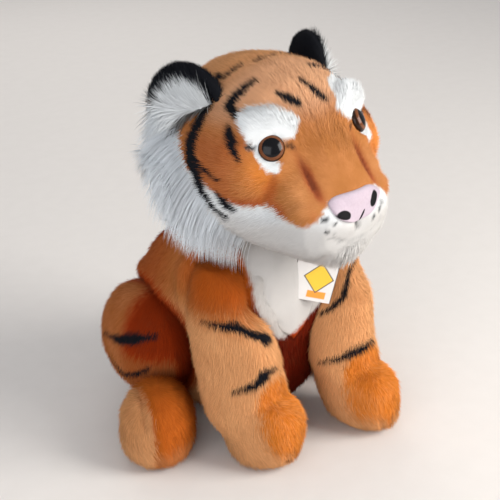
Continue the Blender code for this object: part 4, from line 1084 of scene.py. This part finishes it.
long_hair = {"thick": 0.00030, "waves": 170.0, "stray": 0.06, "rings": 3, "soft": 0.8}
for hand, side in ((1, "left"), (-1, "right")):
    nodes = ("cheek_ruff_" + side,)
    ruff = sewn_skin("ruff_skin_" + side, nodes, 0.0026, 0.0044)
    moved_to(ruff, corners(ruff) - np.array([(hand * 0.005, 0.001, 0)]))
    dressed(ruff, "head", nodes, ruff_marks, ruff_comb(hand), 0.5, 0.002, silk, spacing=0.00085,
            length=0.024, lean=0.88, seed=60 + hand, ruffle=0.22, bend=0.2, **long_hair)
    fringe = grown_pile("ruff_fringe_" + side, head, silk, one_side(fringe_marks, hand),
                        ruff_comb(hand), 0.002, spacing=0.00066, length=0.038, lean=1.0,
                        seed=64 + hand, ruffle=0.26, bend=0.22, **long_hair)
    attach(fringe, "head")

# Ears
# Two round ears, black plush behind and a white lining in front, sewn with a rolled black rim.
EAR_TURN = math.radians(66)


def on_ear(at):
    """Places on an ear, in mm: across it, up it and ahead of its middle."""
    spot = straight(at) * 1000
    aside, back = np.abs(spot[:, 0]) - 56.7, spot[:, 1]
    return (aside * math.cos(EAR_TURN) + back * math.sin(EAR_TURN), spot[:, 2] - 252,
            aside * math.sin(EAR_TURN) - back * math.cos(EAR_TURN))


def black_marks(at):
    _, up, ahead = on_ear(at)
    white = step_up(ahead, -1.0, 1.0) * step_up(-up, -2, 6)
    return {"white": white, "stripe": 1 - white}


def lining_marks(at):
    across, up, _ = on_ear(at)
    band = step_up(np.hypot(across, up) + 0.9 * scatter(at, 24), 17, 20) * step_up(up, -2, 7)
    return {"white": np.ones(len(at)), "stripe": band, "rise": 1 + 0.8 * step_up(-up, -4, 10)}


def ear_comb(hand):
    low_way = (0.75, -0.60, 0.0) if hand > 0 else (-0.6, 0.1, -0.8)

    def comb(at):
        low = step_up(-on_ear(at)[1], -4, 10)[:, None]
        return ((1 - low) * np.array([(hand * 0.3, 0.25, 0.9)])
                + low * np.array([low_way])) @ yaw.T
    return comb


for hand, side in ((1, "left"), (-1, "right")):
    for layer, inset, marks, look in (
            ("back", 0.0008, black_marks, {"spacing": 0.00080, "length": 0.0046, "lean": 0.55,
                                           "seed": 70 + hand, "stray": 0.1}),
            ("lining", 0.0006, lining_marks, {"spacing": 0.00078, "length": 0.0115,
                                              "lean": 0.48, "seed": 74 + hand, "ruffle": 0.3,
                                              "waves": 140.0, "stray": 0.12, "soft": 0.85})):
        nodes = ("ear_" + layer + "_" + side,)
        skin = sewn_skin("ear_" + layer + "_skin_" + side, nodes, 0.0018, inset, 1)
        moved_to(skin, corners(skin) - np.array([(0, 0, 0.003)]))
        dressed(skin, "ear_" + side, nodes, marks, ear_comb(hand), 0.3, inset, thick=0.00026,
                **look)

# Eyes
# Domed plastic buttons, 18 mm across, with a copper-brown iris and a black pupil under a
# clear coat. A washer inside the head holds each shank.
glass = Finish("eye_plastic", roughness=0.16, Specular_IOR_Level=0.20)
across = glass.mark("across")
streaks = glass.noise(900.0, 2.0)
iris = glass.tint(streaks, (0.085, 0.025, 0.008), (0.19, 0.065, 0.024))
rim = ((across - 0.86) * 14.0).limited()
iris = glass.tint(rim, iris, (0.02, 0.008, 0.004))
pupil = ((0.72 - across) * 30.0).limited()
glass.set("Base Color", glass.tint(pupil, iris, (0.004, 0.004, 0.005)))
nylon = Finish("washer_nylon", roughness=0.45)
nylon.set("Base Color", nylon.tint(nylon.noise(300.0), (0.78, 0.77, 0.74), (0.86, 0.85, 0.82)))



def ringed(name, rows, ends):
    """A closed shape through rows of points, each row a ring, with a point at either end."""
    count, last = len(rows[0]), (len(rows) - 1) * len(rows[0])
    faces = between(len(rows), count)
    faces += [((side + 1) % count, side, last + count) for side in range(count)]
    faces += [(last + side, last + (side + 1) % count, last + count + 1) for side in range(count)]
    mesh = bpy.data.meshes.new(name)
    mesh.from_pydata([point for row in rows for point in row] + list(ends), [], faces)
    return added(name, mesh)


EYE_RADIUS, EYE_RIM, EYE_FOOT = 0.0090, -0.0058, -0.0069
profile = [(EYE_RADIUS, EYE_FOOT), (EYE_RADIUS, EYE_RIM)]
for step in range(1, 12):
    turn = math.pi / 2 * step / 12
    profile.append((EYE_RADIUS * math.cos(turn), EYE_RIM - EYE_RIM * math.sin(turn)))
eye_rows = [[(radius * math.cos(math.tau * k / 40), radius * math.sin(math.tau * k / 40), height)
             for k in range(40)] for radius, height in profile]
for hand, side in ((1, "left"), (-1, "right")):
    apex = Vector(on_head([(hand * 0.0439, -0.0667, 0.2347)])[0])
    axis = Vector(yaw @ np.array((hand * 0.55, -0.70, 0.455))).normalized()
    button = ringed("eye_button_" + side, eye_rows, ((0, 0, EYE_FOOT), (0, 0, 0)))
    noted(button, "across", np.linalg.norm(corners(button)[:, :2], axis=1) / EYE_RADIUS)
    button.data.transform(Matrix.Translation(apex)
                          @ axis.to_track_quat("Z", "Y").to_matrix().to_4x4())
    button.data.shade_smooth()
    painted(button, glass)
    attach(button, "head")
    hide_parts("eye_" + side)
    painted(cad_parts["eye_washer_" + side], nylon)

# Nose
# A flat pink velour nose, with two black nostrils sewn on it.
velour = Finish("nose_velour", roughness=0.9, Specular_IOR_Level=0.2)
nap = velour.noise(700.0, 3.0)
pink = velour.tint(nap, (0.42, 0.34, 0.385), (0.50, 0.415, 0.47))
velour.bumped(nap, 0.0003)
rim = np.array(nose_outline)
for turn in range(3):
    following = np.roll(rim, -1, 0)
    rim = np.stack([0.75 * rim + 0.25 * following, 0.25 * rim + 0.75 * following], 1)
    rim = rim.reshape(-1, 2)
middle = rim.mean(0)
muzzle = surface(straight(corners(head)), head)


def on_muzzle(x, z):
    """The place on the straight muzzle behind a point of the nose, which is given in mm."""
    return muzzle.ray_cast(Vector((x / 1000, -0.13, z / 1000)), Vector((0, 1, 0)))[0]


rows = []
for share, lift in ((1.0, 1.0), (1.0, -0.8), (0.98, -1.8), (0.94, -2.4), (0.87, -2.8),
                    (0.76, -3.0), (0.56, -3.2), (0.30, -3.2)):
    rows.append(on_head([(x / 1000, on_muzzle(x, z)[1] + lift / 1000, z / 1000)
                         for x, z in middle + share * (rim - middle)]))
nose = ringed("nose_pad", rows, (rows[0].mean(0), rows[-1].mean(0)))
smoother = nose.modifiers.new("finer", "SUBSURF")
smoother.levels = smoother.render_levels = 1
baked_down(nose)
nose.data.shade_smooth()
sewn = 0.0
for x, z, turn, long, wide in ((-15.4, 191.2, -14, 6.6, 2.9), (14.4, 194.2, 52, 5.6, 2.4),
                               (2.0, 186.2, 50, 4.6, 0.9)):
    turn = math.radians(turn)
    place = on_muzzle(x, z)
    middle = Vector(on_head([place - Vector((0, 0.0032, 0))])[0])
    along = Vector(yaw @ np.array((math.cos(turn), 0, math.sin(turn))))
    aside = Vector(yaw @ np.array((-math.sin(turn), 0, math.cos(turn))))
    spot = velour.node("ShaderNodeVectorMath", {"operation": "SUBTRACT"},
                       {0: velour.place(), 1: middle})
    far = 0.0
    for way, half in ((along, long), (aside, wide)):
        share = velour.node("ShaderNodeVectorMath", {"operation": "DOT_PRODUCT"},
                            {0: spot, 1: way}, outlet="Value") * (1000 / half)
        far = far + share * share
    sewn = sewn + ((1.15 - far) * 3.0).limited()
velour.set("Base Color", velour.tint(sewn.limited(), pink, (0.006, 0.005, 0.006)))
painted(nose, velour)
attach(nose, "head")
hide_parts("nose")

# Swing tag
# A small white card on a thread loop at the chest, printed with a plain diamond and a bar.
card = Finish("tag_card", roughness=0.5)
card_stock = card.tint(card.noise(400.0), (0.60, 0.575, 0.555), (0.65, 0.625, 0.60))
card_stock = card.tint(card.mark("yellow"), card_stock, (0.72, 0.45, 0.03))
card_stock = card.tint(card.mark("orange"), card_stock, (0.72, 0.27, 0.03))
card.set("Base Color", card.tint(card.mark("edge"), card_stock, (0.08, 0.06, 0.05)))
tag_frame = (Matrix.Translation((0.0145, -0.0560, 0.1225))
             @ Matrix.Rotation(math.radians(-26), 4, "Z")
             @ Matrix.Rotation(math.radians(-6), 4, "X")
             @ Matrix.Rotation(math.radians(16), 4, "Y"))
CARD_WIDE, CARD_TALL, CARD_THICK, CARD_CELLS = 32, 37, 0.00045, 96
row, column = np.mgrid[0:CARD_CELLS + 1, 0:CARD_CELLS + 1]
z = -CARD_TALL / 2 + CARD_TALL * row / CARD_CELLS
clipped_corner = -16 + np.maximum(0, -12 - z) * 6 / 6.5
x = np.maximum(-16 + CARD_WIDE * column / CARD_CELLS, clipped_corner)
front = np.stack([x.ravel() / 1000, np.zeros(x.size), z.ravel() / 1000], 1)
grid = np.arange(x.size).reshape(x.shape)
cells = np.stack([grid[:-1, :-1], grid[:-1, 1:], grid[1:, 1:], grid[1:, :-1]], -1).reshape(-1, 4)
border = np.r_[grid[0], grid[1:, -1], grid[-1, -2::-1], grid[-2:0:-1, 0]]
following = np.roll(border, -1)
edge = np.stack([border, border + x.size, following + x.size, following], 1)
tag_mesh = bpy.data.meshes.new("swing_card")
tag_mesh.from_pydata(np.r_[front, front + (0, CARD_THICK, 0)].tolist(), [],
                     np.r_[cells, cells[:, ::-1] + x.size, edge].tolist())
swing_card = added("swing_card", tag_mesh)
x, z = corners(swing_card)[:, [0, 2]].T * 1000
star = np.abs(x - 3.0) + np.abs(z + 1.0)
noted(swing_card, "yellow", step_up(11.0 - star, -0.3, 0.3))
noted(swing_card, "orange", step_up(2.6 - np.abs(z + 13.5), -0.2, 0.2)
      * step_up(7.0 - np.abs(x - 4.0), -0.2, 0.2))
noted(swing_card, "edge", step_up(
    0.55 - np.minimum(np.abs(star - 11.0), 16 - np.abs(x)), -0.2, 0.2))
tag_mesh.transform(tag_frame)
painted(swing_card, card)
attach(swing_card, "tag")
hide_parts("tag_card")
thread = Finish("loop_thread", roughness=0.6)
thread.set("Base Color", thread.tint(thread.noise(900.0), (0.80, 0.79, 0.76), (0.70, 0.69, 0.66)))
painted(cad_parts["tag_loop"], thread)

# Pellet bag
# A thin cloth bag of plastic pellets low in the torso, which keeps the toy sitting.
calico = Finish("pellet_bag_calico", roughness=0.9)
weave = calico.noise(1200.0, 1.0)
calico.set("Base Color", calico.tint(weave, (0.62, 0.58, 0.50), (0.74, 0.70, 0.62)))
calico.bumped(weave, 0.0003)
painted(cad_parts["pellet_bag"], calico)
